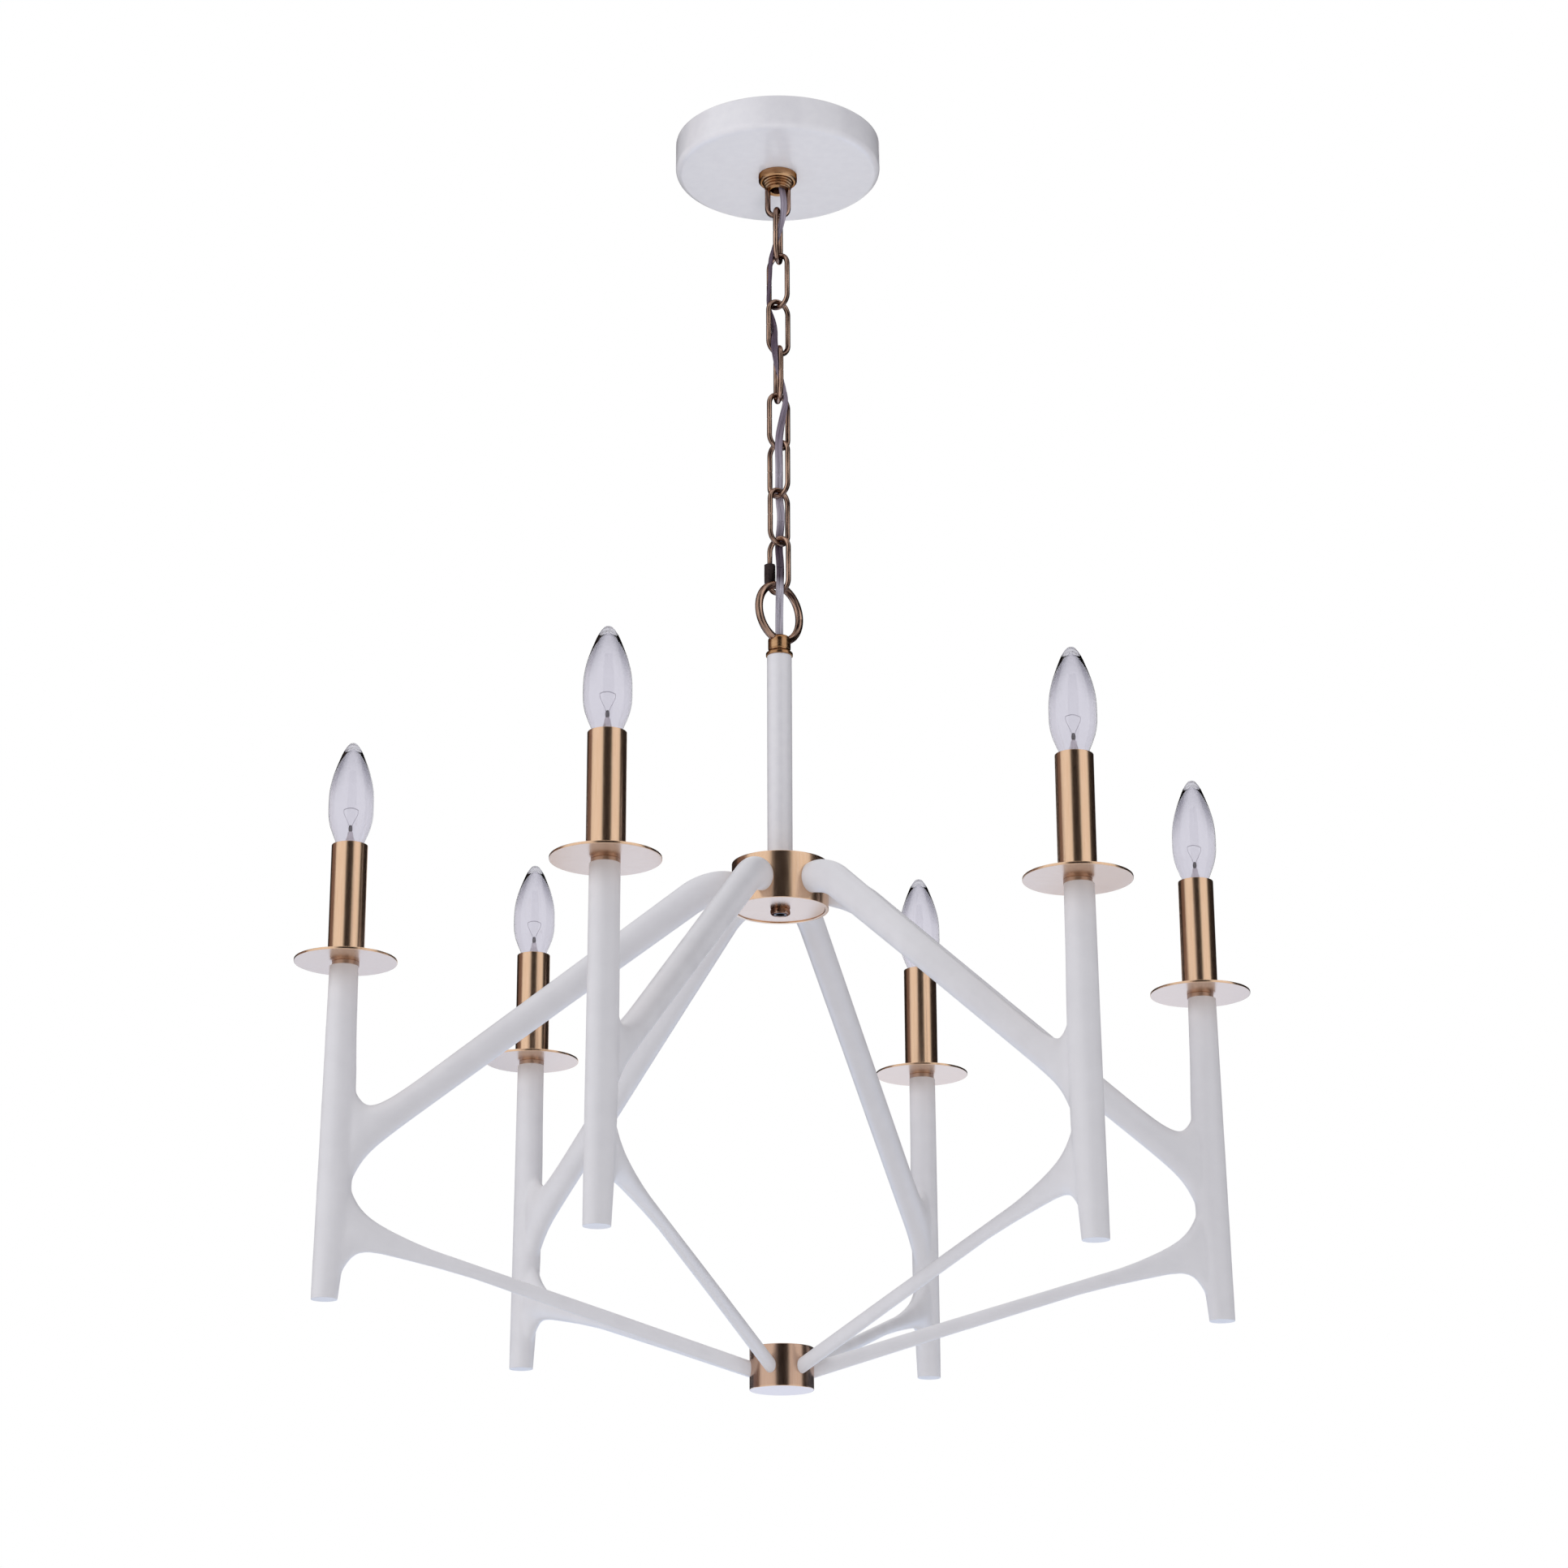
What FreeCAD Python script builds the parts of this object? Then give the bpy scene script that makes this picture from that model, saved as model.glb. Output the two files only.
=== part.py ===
"""Six-light chandelier: ceiling canopy, chain, stem, two hubs and six branching cast arms with candles.

Millimetres, +Z up. The origin is on the ceiling, at the middle of the crossbar's slot pattern, so nearly
every piece hangs below zero. Arm 1 points along +X and the others follow every sixth of a turn.
"""

import FreeCAD, Part
import os
from math import asin, atan, atan2, cos, hypot, pi, sin, tan

# Crossbar under the outlet box
outlet_spacing = 79.4
slot_length = 16.0
slot_width = 5.2
crossbar_end = 8.3
crossbar_width = 20.0
crossbar_thickness = 2.0
box_screw_diameter = 4.2
box_screw_neck = 3.4
box_screw_head = 8.0
box_screw_head_height = 2.6
box_screw_grip = 12.0
ground_screw_place = 22.0
ground_screw_diameter = 4.0
ground_screw_length = 7.0
ground_screw_head = 7.6
ground_screw_head_height = 2.4
screw_sides = 8

# Canopy
canopy_diameter = 162.0
canopy_height = 26.5
canopy_wall = 1.2
canopy_edge_radius = 5.0

# Threaded pipe and its nuts
pipe_diameter = 9.7
pipe_bore = 6.6
locknut_across = 14.0
locknut_height = 3.2
thread_clearance = 0.1
slide_clearance = 0.3

# Screw collar with its stirrup and ring nut
nipple_above_bar = 4.5
nipple_length = 25.5
collar_diameter = 24.0
collar_top_drop = 14.0
collar_web_height = 7.5
collar_bore = 11.6
collar_barrel_drop = 33.5
collar_foot_diameter = 16.4
collar_foot_drop = 39.8
collar_rib_depth = 0.9
collar_rib_count = 3
collar_ring_diameter = 30.4
collar_ring_height = 6.6
collar_ring_chamfer = 1.2
stirrup_bar_drop = 62.0
stirrup_radius = 8.0
stirrup_wire = 4.4
stirrup_turn = -8.9

# Chain of seven links and a quick link
wire_diameter = 4.0
link_length = 48.4
link_width = 22.5
wire_sides = 8
bend_steps = 7
chain_gap = 0.3
link_turns = [69.1, -48.9, 27.1, 93.1, 31.1, -50.9, 35.1, -48.9]
quick_nut_across = 8.0
quick_nut_length = 15.5
quick_link_gap = 5.0
quick_link_gap_rise = 2.8
quick_nut_cover = 2.5

# Hanging ring with its knob and flange
ring_diameter = 50.0
ring_wire = 6.0
ring_turn = 37.1
ring_steps = 20
knob_diameter = 13.8
knob_rise = 3.7
knob_height = 7.0
knob_chamfer = 1.8
knob_neck_diameter = 10.8
flange_diameter = 20.5
flange_height = 5.3
flange_slope_height = 1.8
ring_foot_drop = 13.5

# Stem and the pipe inside it
stem_diameter = 18.8
stem_wall = 1.4
stem_length = 165.0
stem_pipe_engagement = 8.0
pipe_window_height = 14.0
pipe_window_width = 6.0

# Hubs
upper_hub_diameter = 72.0
upper_hub_height = 36.0
lower_hub_diameter = 46.0
lower_hub_height = 30.0
hub_wall = 2.6
hub_spacing = 358.1
cover_inset = 0.8
cover_thickness = 2.0
cover_clearance = 0.2
cover_nut_across = 13.0
cover_nut_height = 4.0

# Screws from the hubs into the arms
arm_screw_diameter = 4.0
arm_screw_length = 10.0
arm_screw_head = 7.0
arm_screw_head_height = 2.6

# Arms, in their own upright plane: a post and two branches
arm_count = 6
arm_sides = 16
candle_radius = 318.5
disc_drop = 88.5
arm_seat_gap = 0.05
post_height = 242.3
post_outer_top = 11.7
post_outer_foot = 16.0
post_depth = 24.7
post_width = 21.0
upper_seat_drop = 1.0
upper_joint_offset = 2.5
upper_bend_radius = 51.5
upper_joint_drop = 142.9
upper_depth = 25.0
lower_joint_drop = 188.9
lower_joint_offset = 3.5
lower_depth = 10.8
lower_width = 8.7

# Candles
disc_diameter = 74.7
disc_thickness = 1.8
neck_diameter = 19.7
neck_height = 3.2
sleeve_diameter = 26.5
sleeve_wall = 0.9
sleeve_height = 86.7
nipple_into_post = 12.0
nipple_into_socket = 9.0
socket_clearance = 0.4
socket_bore = 13.2
socket_sides = 12

# Bulbs
bulb_diameter = 33.0
bulb_length = 85.5
bulb_sink = 4.5
bulb_wall = 0.8
bulb_sides = 12
base_diameter = 11.8
base_length = 17.0
base_contact_diameter = 6.0
base_contact_height = 1.6
base_taper_height = 3.0
base_sides = 12

# Supply cord: a round tube on the flat lead's route, from the nipple to the hanging ring's knob
cord_diameter = 4.0
cord_sides = 6
cord_route = [
    (0.0, 0.0, -4.0), (0.0, -0.3, -21.0), (3.2, -1.0, -38.0), (4.4, -7.0, -59.5),
    (0.0, -2.0, -80.5), (-6.4, -1.1, -99.5), (-6.6, -1.0, -119.5), (-8.2, 2.2, -140.0),
    (-3.0, -2.2, -159.5), (-4.9, -8.7, -180.0), (0.6, 0.2, -199.5), (6.2, -3.2, -220.0),
    (2.4, -0.6, -239.5), (-1.4, -7.8, -260.0), (0.4, -0.4, -279.5), (1.2, 8.0, -300.5),
    (2.4, 1.8, -320.0), (0.7, 7.8, -340.5), (1.2, 0.8, -360.5), (-0.9, -9.4, -380.0),
    (-0.3, -1.8, -400.0), (0.0, 0.3, -418.0), (0.0, 0.0, -432.0),
]

# Post sections from its top down: height share, depth share, width share
post_shares = [
    (0.0, 0.858, 1.0), (0.20, 0.905, 1.0), (0.33, 0.965, 1.0), (0.52, 0.995, 1.0),
    (0.68, 1.0, 0.99), (0.84, 0.91, 0.95), (1.0, 0.765, 0.88),
]
# Upper branch sections from the hub out, in three stretches that join: the bend at the hub, the straight
# limb and the flare into the post. Each row is a station share of the centreline, then as shares of the
# branch's depth how far it rises above and falls below that line, how far its top leans out, its width
upper_bend_shares = [
    (-0.006, 0.45, 0.45, 0.0, 0.66), (0.020, 0.50, 0.50, 0.0, 0.78), (0.046, 0.50, 0.51, 0.0, 0.78),
    (0.073, 0.49, 0.50, 0.0, 0.78), (0.100, 0.48, 0.49, 0.0, 0.78),
]
upper_limb_shares = [(0.435, 0.43, 0.45, 0.0, 0.76), (0.770, 0.39, 0.44, 0.01, 0.76)]
upper_flare_shares = [
    (0.808, 0.40, 0.44, -0.04, 0.76), (0.845, 0.42, 0.44, -0.10, 0.76), (0.879, 0.48, 0.45, -0.19, 0.76),
    (0.907, 0.59, 0.48, -0.32, 0.76), (0.928, 0.79, 0.57, -0.51, 0.76), (0.942, 1.09, 0.76, -0.73, 0.74),
    (0.952, 1.51, 1.00, -0.99, 0.68), (0.964, 1.99, 1.22, -1.25, 0.50),
]
# Lower branch sections in the same way, with the width as a share of the branch's own width
lower_limb_shares = [
    (-0.014, 0.54, 0.54, 0.0, 1.0), (0.32, 0.50, 0.50, 0.05, 1.0), (0.657, 0.42, 0.53, 0.15, 1.0),
]
lower_flare_shares = [
    (0.704, 0.41, 0.60, 0.20, 1.04), (0.750, 0.39, 0.68, 0.25, 1.10), (0.797, 0.46, 0.80, 0.28, 1.20),
    (0.843, 0.60, 0.92, 0.31, 1.35), (0.882, 0.79, 1.03, 0.35, 1.50), (0.913, 1.06, 1.21, 0.40, 1.65),
    (0.937, 1.47, 1.54, 0.47, 1.75), (0.954, 2.04, 2.20, 0.59, 1.80), (0.966, 2.77, 3.12, 0.83, 1.70),
    (0.981, 3.59, 4.13, 1.15, 1.40),
]
# Bulb outline from its neck up: height share, radius share
bulb_shares = [
    (0.0, 0.44), (0.055, 0.50), (0.125, 0.62), (0.20, 0.82), (0.29, 0.96), (0.42, 1.0),
    (0.56, 0.98), (0.66, 0.90), (0.78, 0.71), (0.89, 0.49), (0.96, 0.28), (1.0, 0.06),
]

overrun = 1.0
full_turn = 2 * pi
sides_of_middle = (-1, 1)


def vector(x, y, z):
    return FreeCAD.Vector(x, y, z)


def moved(shape, x, y, z):
    copy = shape.copy()
    copy.translate(vector(x, y, z))
    return copy


def turned(shape, angle):
    copy = shape.copy()
    copy.rotate(vector(0, 0, 0), vector(0, 0, 1), angle)
    return copy


def ring_of(shape):
    """The shape copied to the place of each arm."""
    return [turned(shape, 360 / arm_count * i) for i in range(arm_count)]


def cylinder(radius, bottom, top):
    return Part.makeCylinder(radius, top - bottom, vector(0, 0, bottom))


def tube(outer_radius, inner_radius, bottom, top):
    bore = cylinder(inner_radius, bottom - overrun, top + overrun)
    return cylinder(outer_radius, bottom, top).cut(bore)


def prism(sides, radius, bottom, top):
    """Upright prism on a regular polygon whose corners lie at the given radius."""
    angles = [full_turn * (i + 1 / 2) / sides for i in range(sides)]
    corners = [vector(radius * cos(a), radius * sin(a), bottom) for a in angles]
    face = Part.Face(Part.makePolygon(corners + corners[:1]))
    return face.extrude(vector(0, 0, top - bottom))


def corner_radius(width, sides):
    """Radius of a regular polygon's corners from its width across flats."""
    return width / 2 / cos(pi / sides)


def pipe_hole(bottom, top):
    return cylinder(pipe_diameter / 2 + thread_clearance, bottom, top)


def revolved(profile):
    """Closed outline of (radius, height) corners turned about Z."""
    corners = [vector(r, 0, z) for r, z in profile]
    face = Part.Face(Part.makePolygon(corners + corners[:1]))
    return face.revolve(vector(0, 0, 0), vector(0, 0, 1), 360)


def skin(rings, closed):
    """Solid through rings of corners; an open run of rings gets an end face at each end."""
    pairs = list(zip(rings, rings[1:]))
    if closed:
        pairs.append((rings[-1], rings[0]))
    faces = []
    for near, far in pairs:
        for i, corner in enumerate(near):
            j = (i + 1) % len(near)
            faces.append(Part.Face(Part.makePolygon([corner, near[j], far[j], far[i], corner])))
    if not closed:
        for ring in (rings[0], rings[-1]):
            faces.append(Part.Face(Part.makePolygon(ring + ring[:1])))
    shell = Part.makeShell(faces)
    shell.sewShape()
    solid = Part.makeSolid(shell)
    if solid.Volume < 0:
        solid.reverse()
    return solid


def bent_wire(path, diameter, closed):
    """Wire of a few flat sides bent through corners (x, z) in the XZ plane and mitred at each one."""
    rings = []
    for i, (x, z) in enumerate(path):
        headings = []
        if closed or i > 0:
            headings.append(atan2(z - path[i - 1][1], x - path[i - 1][0]))
        if closed or i < len(path) - 1:
            after = path[(i + 1) % len(path)]
            headings.append(atan2(after[1] - z, after[0] - x))
        bend = (headings[-1] - headings[0] + pi) % full_turn - pi
        middle = headings[0] + bend / 2
        ring = []
        for k in range(wire_sides):
            angle = full_turn * (k + 1 / 2) / wire_sides
            side = diameter / 2 * cos(angle) / cos(bend / 2)
            ring.append(
                vector(x - side * sin(middle), diameter / 2 * sin(angle), z + side * cos(middle))
            )
        rings.append(ring)
    return skin(rings, closed)


def arc_corners(radius, centre_z, first_angle, steps, whole):
    """Corners drawn round an arc, so that each straight step touches it at its middle."""
    step = whole / steps
    reach = radius / cos(step / 2)
    angles = [first_angle + step * (i + 1 / 2) for i in range(steps)]
    return [(reach * cos(a), centre_z + reach * sin(a)) for a in angles]


# Heights that follow from the sizes above, from the ceiling down
bar_spacing = link_length - wire_diameter
link_bars = [-stirrup_bar_drop]
for turn_angle in link_turns:
    upper_wire = stirrup_wire if len(link_bars) == 1 else wire_diameter
    link_bars.append(link_bars[-1] + (upper_wire + wire_diameter) / 2 + chain_gap - bar_spacing)
ring_radius = (ring_diameter - ring_wire) / 2
ring_top = link_bars[-1] + (wire_diameter + ring_wire) / 2 + chain_gap
ring_centre = ring_top - ring_radius
ring_bar = ring_centre - ring_radius
knob_top = ring_bar + knob_rise
stem_top = ring_bar - ring_foot_drop
stem_bottom = stem_top - stem_length
upper_hub_bottom = stem_bottom - upper_hub_height
upper_hub_middle = stem_bottom - upper_hub_height / 2
lower_hub_middle = upper_hub_middle - hub_spacing
lower_hub_bottom = lower_hub_middle - lower_hub_height / 2
lower_hub_top = lower_hub_middle + lower_hub_height / 2
disc_bottom = stem_bottom - disc_drop
disc_top = disc_bottom + disc_thickness
post_top = disc_bottom - neck_height
sleeve_top = disc_top + sleeve_height
bulb_bottom = sleeve_top - bulb_sink
upper_seat = upper_hub_middle - upper_seat_drop
link_radius = (link_width - wire_diameter) / 2


def crossbar():
    """Steel strap with two slots, the pipe's hole and the earth screw's hole."""
    below = -crossbar_thickness - overrun
    reach = (outlet_spacing + slot_length) / 2 + crossbar_end
    bar = Part.makeBox(
        2 * reach, crossbar_width, crossbar_thickness,
        vector(-reach, -crossbar_width / 2, -crossbar_thickness),
    )
    straight = slot_length - slot_width
    for side in sides_of_middle:
        middle = side * outlet_spacing / 2
        bar = bar.cut(Part.makeBox(
            straight, slot_width, overrun - below,
            vector(middle - straight / 2, -slot_width / 2, below),
        ))
        for end in sides_of_middle:
            bar = bar.cut(moved(cylinder(slot_width / 2, below, overrun), middle + end * straight / 2, 0, 0))
    ground_hole = cylinder(ground_screw_diameter / 2 + thread_clearance, below, overrun)
    return bar.cut(pipe_hole(below, overrun)).cut(moved(ground_hole, ground_screw_place, 0, 0))


def screw(diameter, length, head, head_height):
    """Screw with its head down and the head's seat at zero."""
    shank = cylinder(diameter / 2, -head_height / 2, length)
    return shank.fuse(prism(screw_sides, head / 2, -head_height, 0)).removeSplitter()


def box_screws():
    """Captive screws: each has a slim neck where it stands in the crossbar's slot, below its thread."""
    neck = screw(box_screw_neck, crossbar_thickness, box_screw_head, box_screw_head_height)
    one = neck.fuse(cylinder(box_screw_diameter / 2, crossbar_thickness, box_screw_grip))
    places = [side * outlet_spacing / 2 for side in sides_of_middle]
    return Part.makeCompound([moved(one, place, 0, -crossbar_thickness) for place in places])


def ground_screw():
    one = screw(ground_screw_diameter, ground_screw_length, ground_screw_head, ground_screw_head_height)
    return moved(one, ground_screw_place, 0, -crossbar_thickness)


def canopy_nipple():
    return tube(pipe_diameter / 2, pipe_bore / 2, nipple_above_bar - nipple_length, nipple_above_bar)


def locknut(across_flats, height, bottom):
    nut = prism(6, corner_radius(across_flats, 6), bottom, bottom + height)
    return nut.cut(pipe_hole(bottom - overrun, bottom + height + overrun))


def nipple_locknuts():
    below = -crossbar_thickness - locknut_height
    return Part.makeCompound([locknut(locknut_across, locknut_height, z) for z in (0, below)])


def collar_loop():
    """Turned collar with a threaded barrel and a ribbed taper, and the wire stirrup under it."""
    radius = collar_diameter / 2
    foot = collar_foot_diameter / 2
    thread = pipe_diameter / 2 + thread_clearance
    web_bottom = -collar_top_drop - collar_web_height
    profile = [(thread, -collar_top_drop), (radius, -collar_top_drop), (radius, -collar_barrel_drop)]
    rib_height = (collar_foot_drop - collar_barrel_drop) / collar_rib_count
    for i in range(collar_rib_count):
        top = -collar_barrel_drop - rib_height * i
        edge = radius + (foot - radius) * (i + 1) / collar_rib_count
        profile.append((edge - collar_rib_depth, top - rib_height / 3))
        profile.append((edge, top - rib_height * 2 / 3))
        profile.append((edge, top - rib_height))
    profile += [(collar_bore / 2, -collar_foot_drop), (collar_bore / 2, web_bottom), (thread, web_bottom)]
    legs_top = -collar_foot_drop + stirrup_wire / 2
    bend = arc_corners(stirrup_radius, -stirrup_bar_drop + stirrup_radius, pi, bend_steps, pi)
    path = [(-stirrup_radius, legs_top)] + bend + [(stirrup_radius, legs_top)]
    stirrup = turned(bent_wire(path, stirrup_wire, False), stirrup_turn)
    stirrup = stirrup.cut(cylinder(collar_bore / 2, -collar_foot_drop, legs_top + overrun))
    return revolved(profile).fuse(stirrup)


def collar_ring():
    """Ring nut that holds the canopy up on the collar's thread."""
    outer = collar_ring_diameter / 2
    inner = collar_diameter / 2 + slide_clearance
    top = -canopy_height
    bottom = top - collar_ring_height
    return revolved([
        (inner, top), (outer, top), (outer, bottom + collar_ring_chamfer),
        (outer - collar_ring_chamfer, bottom), (inner, bottom),
    ])


def canopy():
    """Pressed steel cup, open towards the ceiling, with one hole for the collar."""
    cup = cylinder(canopy_diameter / 2, -canopy_height, 0)
    edge = [e for e in cup.Edges if e.BoundBox.ZMax < -canopy_height / 2]
    cup = cup.makeFillet(canopy_edge_radius, edge)
    inner = canopy_diameter / 2 - canopy_wall
    floor = -canopy_height + canopy_wall
    chamfer = canopy_edge_radius - canopy_wall
    hollow = revolved([
        (0, floor), (inner - chamfer, floor), (inner, floor + chamfer), (inner, overrun), (0, overrun),
    ])
    hole = cylinder(collar_diameter / 2 + slide_clearance, -canopy_height - overrun, 0)
    return cup.cut(hollow).cut(hole)


def link_bends(bar):
    """Corners of a link's lower and upper bends, from its lower bar's height."""
    lower = arc_corners(link_radius, bar + link_radius, pi, bend_steps, pi)
    upper = arc_corners(link_radius, bar + bar_spacing - link_radius, 0.0, bend_steps, pi)
    return lower, upper


def chain_link(index):
    lower, upper = link_bends(link_bars[index])
    return turned(bent_wire(lower + upper, wire_diameter, True), link_turns[index - 1])


def quick_gap_bottom():
    """Height of the gap's lower end, just above the lower bend."""
    return link_bars[-1] + link_radius + quick_link_gap_rise


def quick_link():
    """Last link, open in one leg where its sleeve nut bridges the gap."""
    lower, upper = link_bends(link_bars[-1])
    gap_bottom = quick_gap_bottom()
    path = [(-link_radius, gap_bottom)] + lower + upper + [(-link_radius, gap_bottom + quick_link_gap)]
    return turned(bent_wire(path, wire_diameter, False), link_turns[-1])


def quick_link_nut():
    """Sleeve nut over the gap; run up its leg by its travel, it leaves the gap open."""
    bottom = quick_gap_bottom() - quick_nut_cover
    top = bottom + quick_nut_length
    bore = corner_radius(wire_diameter + 2 * slide_clearance, wire_sides)
    nut = prism(6, corner_radius(quick_nut_across, 6), bottom, top)
    nut = nut.cut(prism(wire_sides, bore, bottom - overrun, top + overrun))
    return turned(moved(nut, -link_radius, 0, 0), link_turns[-1])


def supply_cord():
    """Cord of a few flat sides on straight runs joined by tangent arcs."""
    points = [vector(*point) for point in cord_route]
    edges = []
    start = points[0]
    radii = []
    for before, corner, after in zip(points, points[1:], points[2:]):
        back, on = before - corner, after - corner
        run = 0.45 * min(back.Length, on.Length)
        back.normalize()
        on.normalize()
        half = (pi - back.getAngle(on)) / 2
        radius = run / tan(half)
        radii.append(radius)
        first, last = corner + back * run, corner + on * run
        inward = back + on
        inward.normalize()
        middle = corner + inward * (radius / cos(half) - radius)
        edges.append(Part.LineSegment(start, first).toShape())
        edges.append(Part.Arc(first, middle, last).toShape())
        start = last
    edges.append(Part.LineSegment(start, points[-1]).toShape())
    path = Part.Wire(edges)
    angles = [full_turn * k / cord_sides for k in range(cord_sides + 1)]
    ring = [
        vector(cord_diameter / 2 * cos(a), cord_diameter / 2 * sin(a), points[0].z) for a in angles
    ]
    cord = path.makePipeShell([Part.makePolygon(ring)], True, True)
    section = cord_sides / 2 * (cord_diameter / 2) ** 2 * sin(full_turn / cord_sides)
    print("cord length", round(path.Length, 1), "volume share", round(cord.Volume / section / path.Length, 4))
    print("cord radii", [round(radius, 1) for radius in radii])
    return cord


def hanging_ring():
    """Ring cast in one with the knob and flange that screw onto the stem's pipe."""
    path = arc_corners(ring_radius, ring_centre, 0.0, ring_steps, full_turn)
    ring = turned(bent_wire(path, ring_wire, True), ring_turn)
    knob_bottom = knob_top - knob_height
    flange_top = stem_top + flange_height
    body = revolved([
        (0, stem_top), (flange_diameter / 2, stem_top),
        (flange_diameter / 2, flange_top - flange_slope_height), (knob_neck_diameter / 2, flange_top),
        (knob_neck_diameter / 2, knob_bottom), (knob_diameter / 2, knob_bottom + knob_chamfer),
        (knob_diameter / 2, knob_top - knob_chamfer), (knob_diameter / 2 - knob_chamfer, knob_top),
        (0, knob_top),
    ])
    body = body.fuse(ring).cut(pipe_hole(stem_top - overrun, stem_top + stem_pipe_engagement))
    return body.cut(cylinder(pipe_bore / 2, stem_top, knob_top + ring_wire))


def stem():
    return tube(stem_diameter / 2, stem_diameter / 2 - stem_wall, stem_bottom, stem_top)


def stem_pipe():
    """Threaded pipe from the hanging ring to the cover nut, with a window inside the hub for the wires."""
    bottom = upper_hub_bottom + cover_inset - cover_nut_height
    pipe = tube(pipe_diameter / 2, pipe_bore / 2, bottom, stem_top + stem_pipe_engagement)
    window = Part.makeBox(
        pipe_diameter, pipe_window_width, pipe_window_height,
        vector(0, -pipe_window_width / 2, upper_hub_middle - pipe_window_height / 2),
    )
    return pipe.cut(window)


def lower_slope():
    rise = below_disc(lower_joint_drop) - lower_hub_middle
    return atan(rise / (candle_radius + lower_joint_offset - lower_hub_diameter / 2))


def below_disc(drop):
    """Height of a point given by its drop below the discs."""
    return disc_bottom - drop


def seat_radius(hub_diameter):
    """Distance from the axis at which a flat screw head's edge meets the hub's round inner wall."""
    inner = hub_diameter / 2 - hub_wall
    return (inner ** 2 - (arm_screw_head / 2) ** 2) ** 0.5


def screw_seats():
    """Radius of the head's seat and height of the screws in the upper and in the lower hub."""
    into_branch = arm_screw_length - hub_wall
    upper = (seat_radius(upper_hub_diameter), upper_seat)
    lower = (seat_radius(lower_hub_diameter), lower_hub_middle + into_branch / 2 * tan(lower_slope()))
    return upper, lower


def screw_holes(seat):
    """Cutters for one hub's ring of screw holes, through its wall and into the branches."""
    radius, height = seat
    hole = Part.makeCylinder(
        arm_screw_diameter / 2 + thread_clearance, arm_screw_length + 2 * overrun,
        vector(radius - overrun, 0, height), vector(1, 0, 0),
    )
    return ring_of(hole)


def arm_screws():
    solids = []
    for radius, height in screw_seats():
        one = screw(arm_screw_diameter, arm_screw_length, arm_screw_head, arm_screw_head_height)
        one.rotate(vector(0, 0, 0), vector(0, 1, 0), 90)
        solids += ring_of(moved(one, radius, 0, height))
    return Part.makeCompound(solids)


def upper_hub():
    """Turned cup, closed at the top and drilled for the pipe and the screws."""
    radius = upper_hub_diameter / 2
    cup = cylinder(radius, upper_hub_bottom, stem_bottom)
    cup = cup.cut(cylinder(radius - hub_wall, upper_hub_bottom - overrun, stem_bottom - hub_wall))
    return cup.cut(pipe_hole(upper_hub_middle, stem_bottom + overrun)).cut(screw_holes(screw_seats()[0]))


def upper_hub_cover():
    bottom = upper_hub_bottom + cover_inset
    plate = cylinder(upper_hub_diameter / 2 - hub_wall - cover_clearance, bottom, bottom + cover_thickness)
    return plate.cut(pipe_hole(bottom - overrun, bottom + cover_thickness + overrun))


def cover_nut():
    bottom = upper_hub_bottom + cover_inset - cover_nut_height
    return locknut(cover_nut_across, cover_nut_height, bottom)


def lower_hub():
    """Turned cup, closed at the bottom and drilled for the screws."""
    radius = lower_hub_diameter / 2
    cup = cylinder(radius, lower_hub_bottom, lower_hub_top)
    cup = cup.cut(cylinder(radius - hub_wall, lower_hub_bottom + hub_wall, lower_hub_top + overrun))
    return cup.cut(screw_holes(screw_seats()[1]))


def lower_hub_cap():
    top = lower_hub_top - cover_inset
    return cylinder(lower_hub_diameter / 2 - hub_wall - cover_clearance, top - cover_thickness, top)


def section(top, bottom, width):
    """Closed oval of flat sides through a top and a bottom point (radius, height), the given width across."""
    middle = vector((top[0] + bottom[0]) / 2, 0, (top[1] + bottom[1]) / 2)
    up = vector(top[0], 0, top[1]) - middle
    across = vector(0, width / 2, 0)
    angles = [full_turn * k / arm_sides for k in range(arm_sides)]
    corners = [middle + up * cos(a) + across * sin(a) for a in angles]
    return Part.makePolygon(corners + corners[:1])


def post():
    """Upright post with a straight, slightly splayed outer edge, cut square at its foot."""
    rings = []
    for height_share, depth_share, width_share in post_shares:
        outer = candle_radius + post_outer_top + (post_outer_foot - post_outer_top) * height_share
        height = post_top - post_height * height_share
        rings.append(
            section((outer - post_depth * depth_share, height), (outer, height), post_width * width_share)
        )
    return Part.makeLoft(rings, True, True)


def branch(stretches, centreline, depth, width):
    """Lofts through a branch's sections; centreline gives the point and heading at a station share."""
    lofts = []
    last = []
    for shares in stretches:
        rings = []
        for station, rise, fall, lean, width_share in last + shares:
            x, z, heading = centreline(station)
            along = (cos(heading), sin(heading))
            up = (-sin(heading), cos(heading))
            top = [c + depth * (rise * u + lean * a) for c, u, a in zip((x, z), up, along)]
            bottom = [c - depth * (fall * u + lean * a) for c, u, a in zip((x, z), up, along)]
            rings.append(section(top, bottom, width * width_share))
        lofts.append(Part.makeLoft(rings, True, True))
        last = shares[-1:]
    return lofts


def upper_slope():
    """Fall of the straight line that leaves the hub's arc smoothly and meets the post at the joint."""
    across = candle_radius + upper_joint_offset - upper_hub_diameter / 2
    drop = upper_seat - upper_bend_radius - below_disc(upper_joint_drop)
    return atan2(drop, across) + asin(upper_bend_radius / hypot(across, drop))


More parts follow.
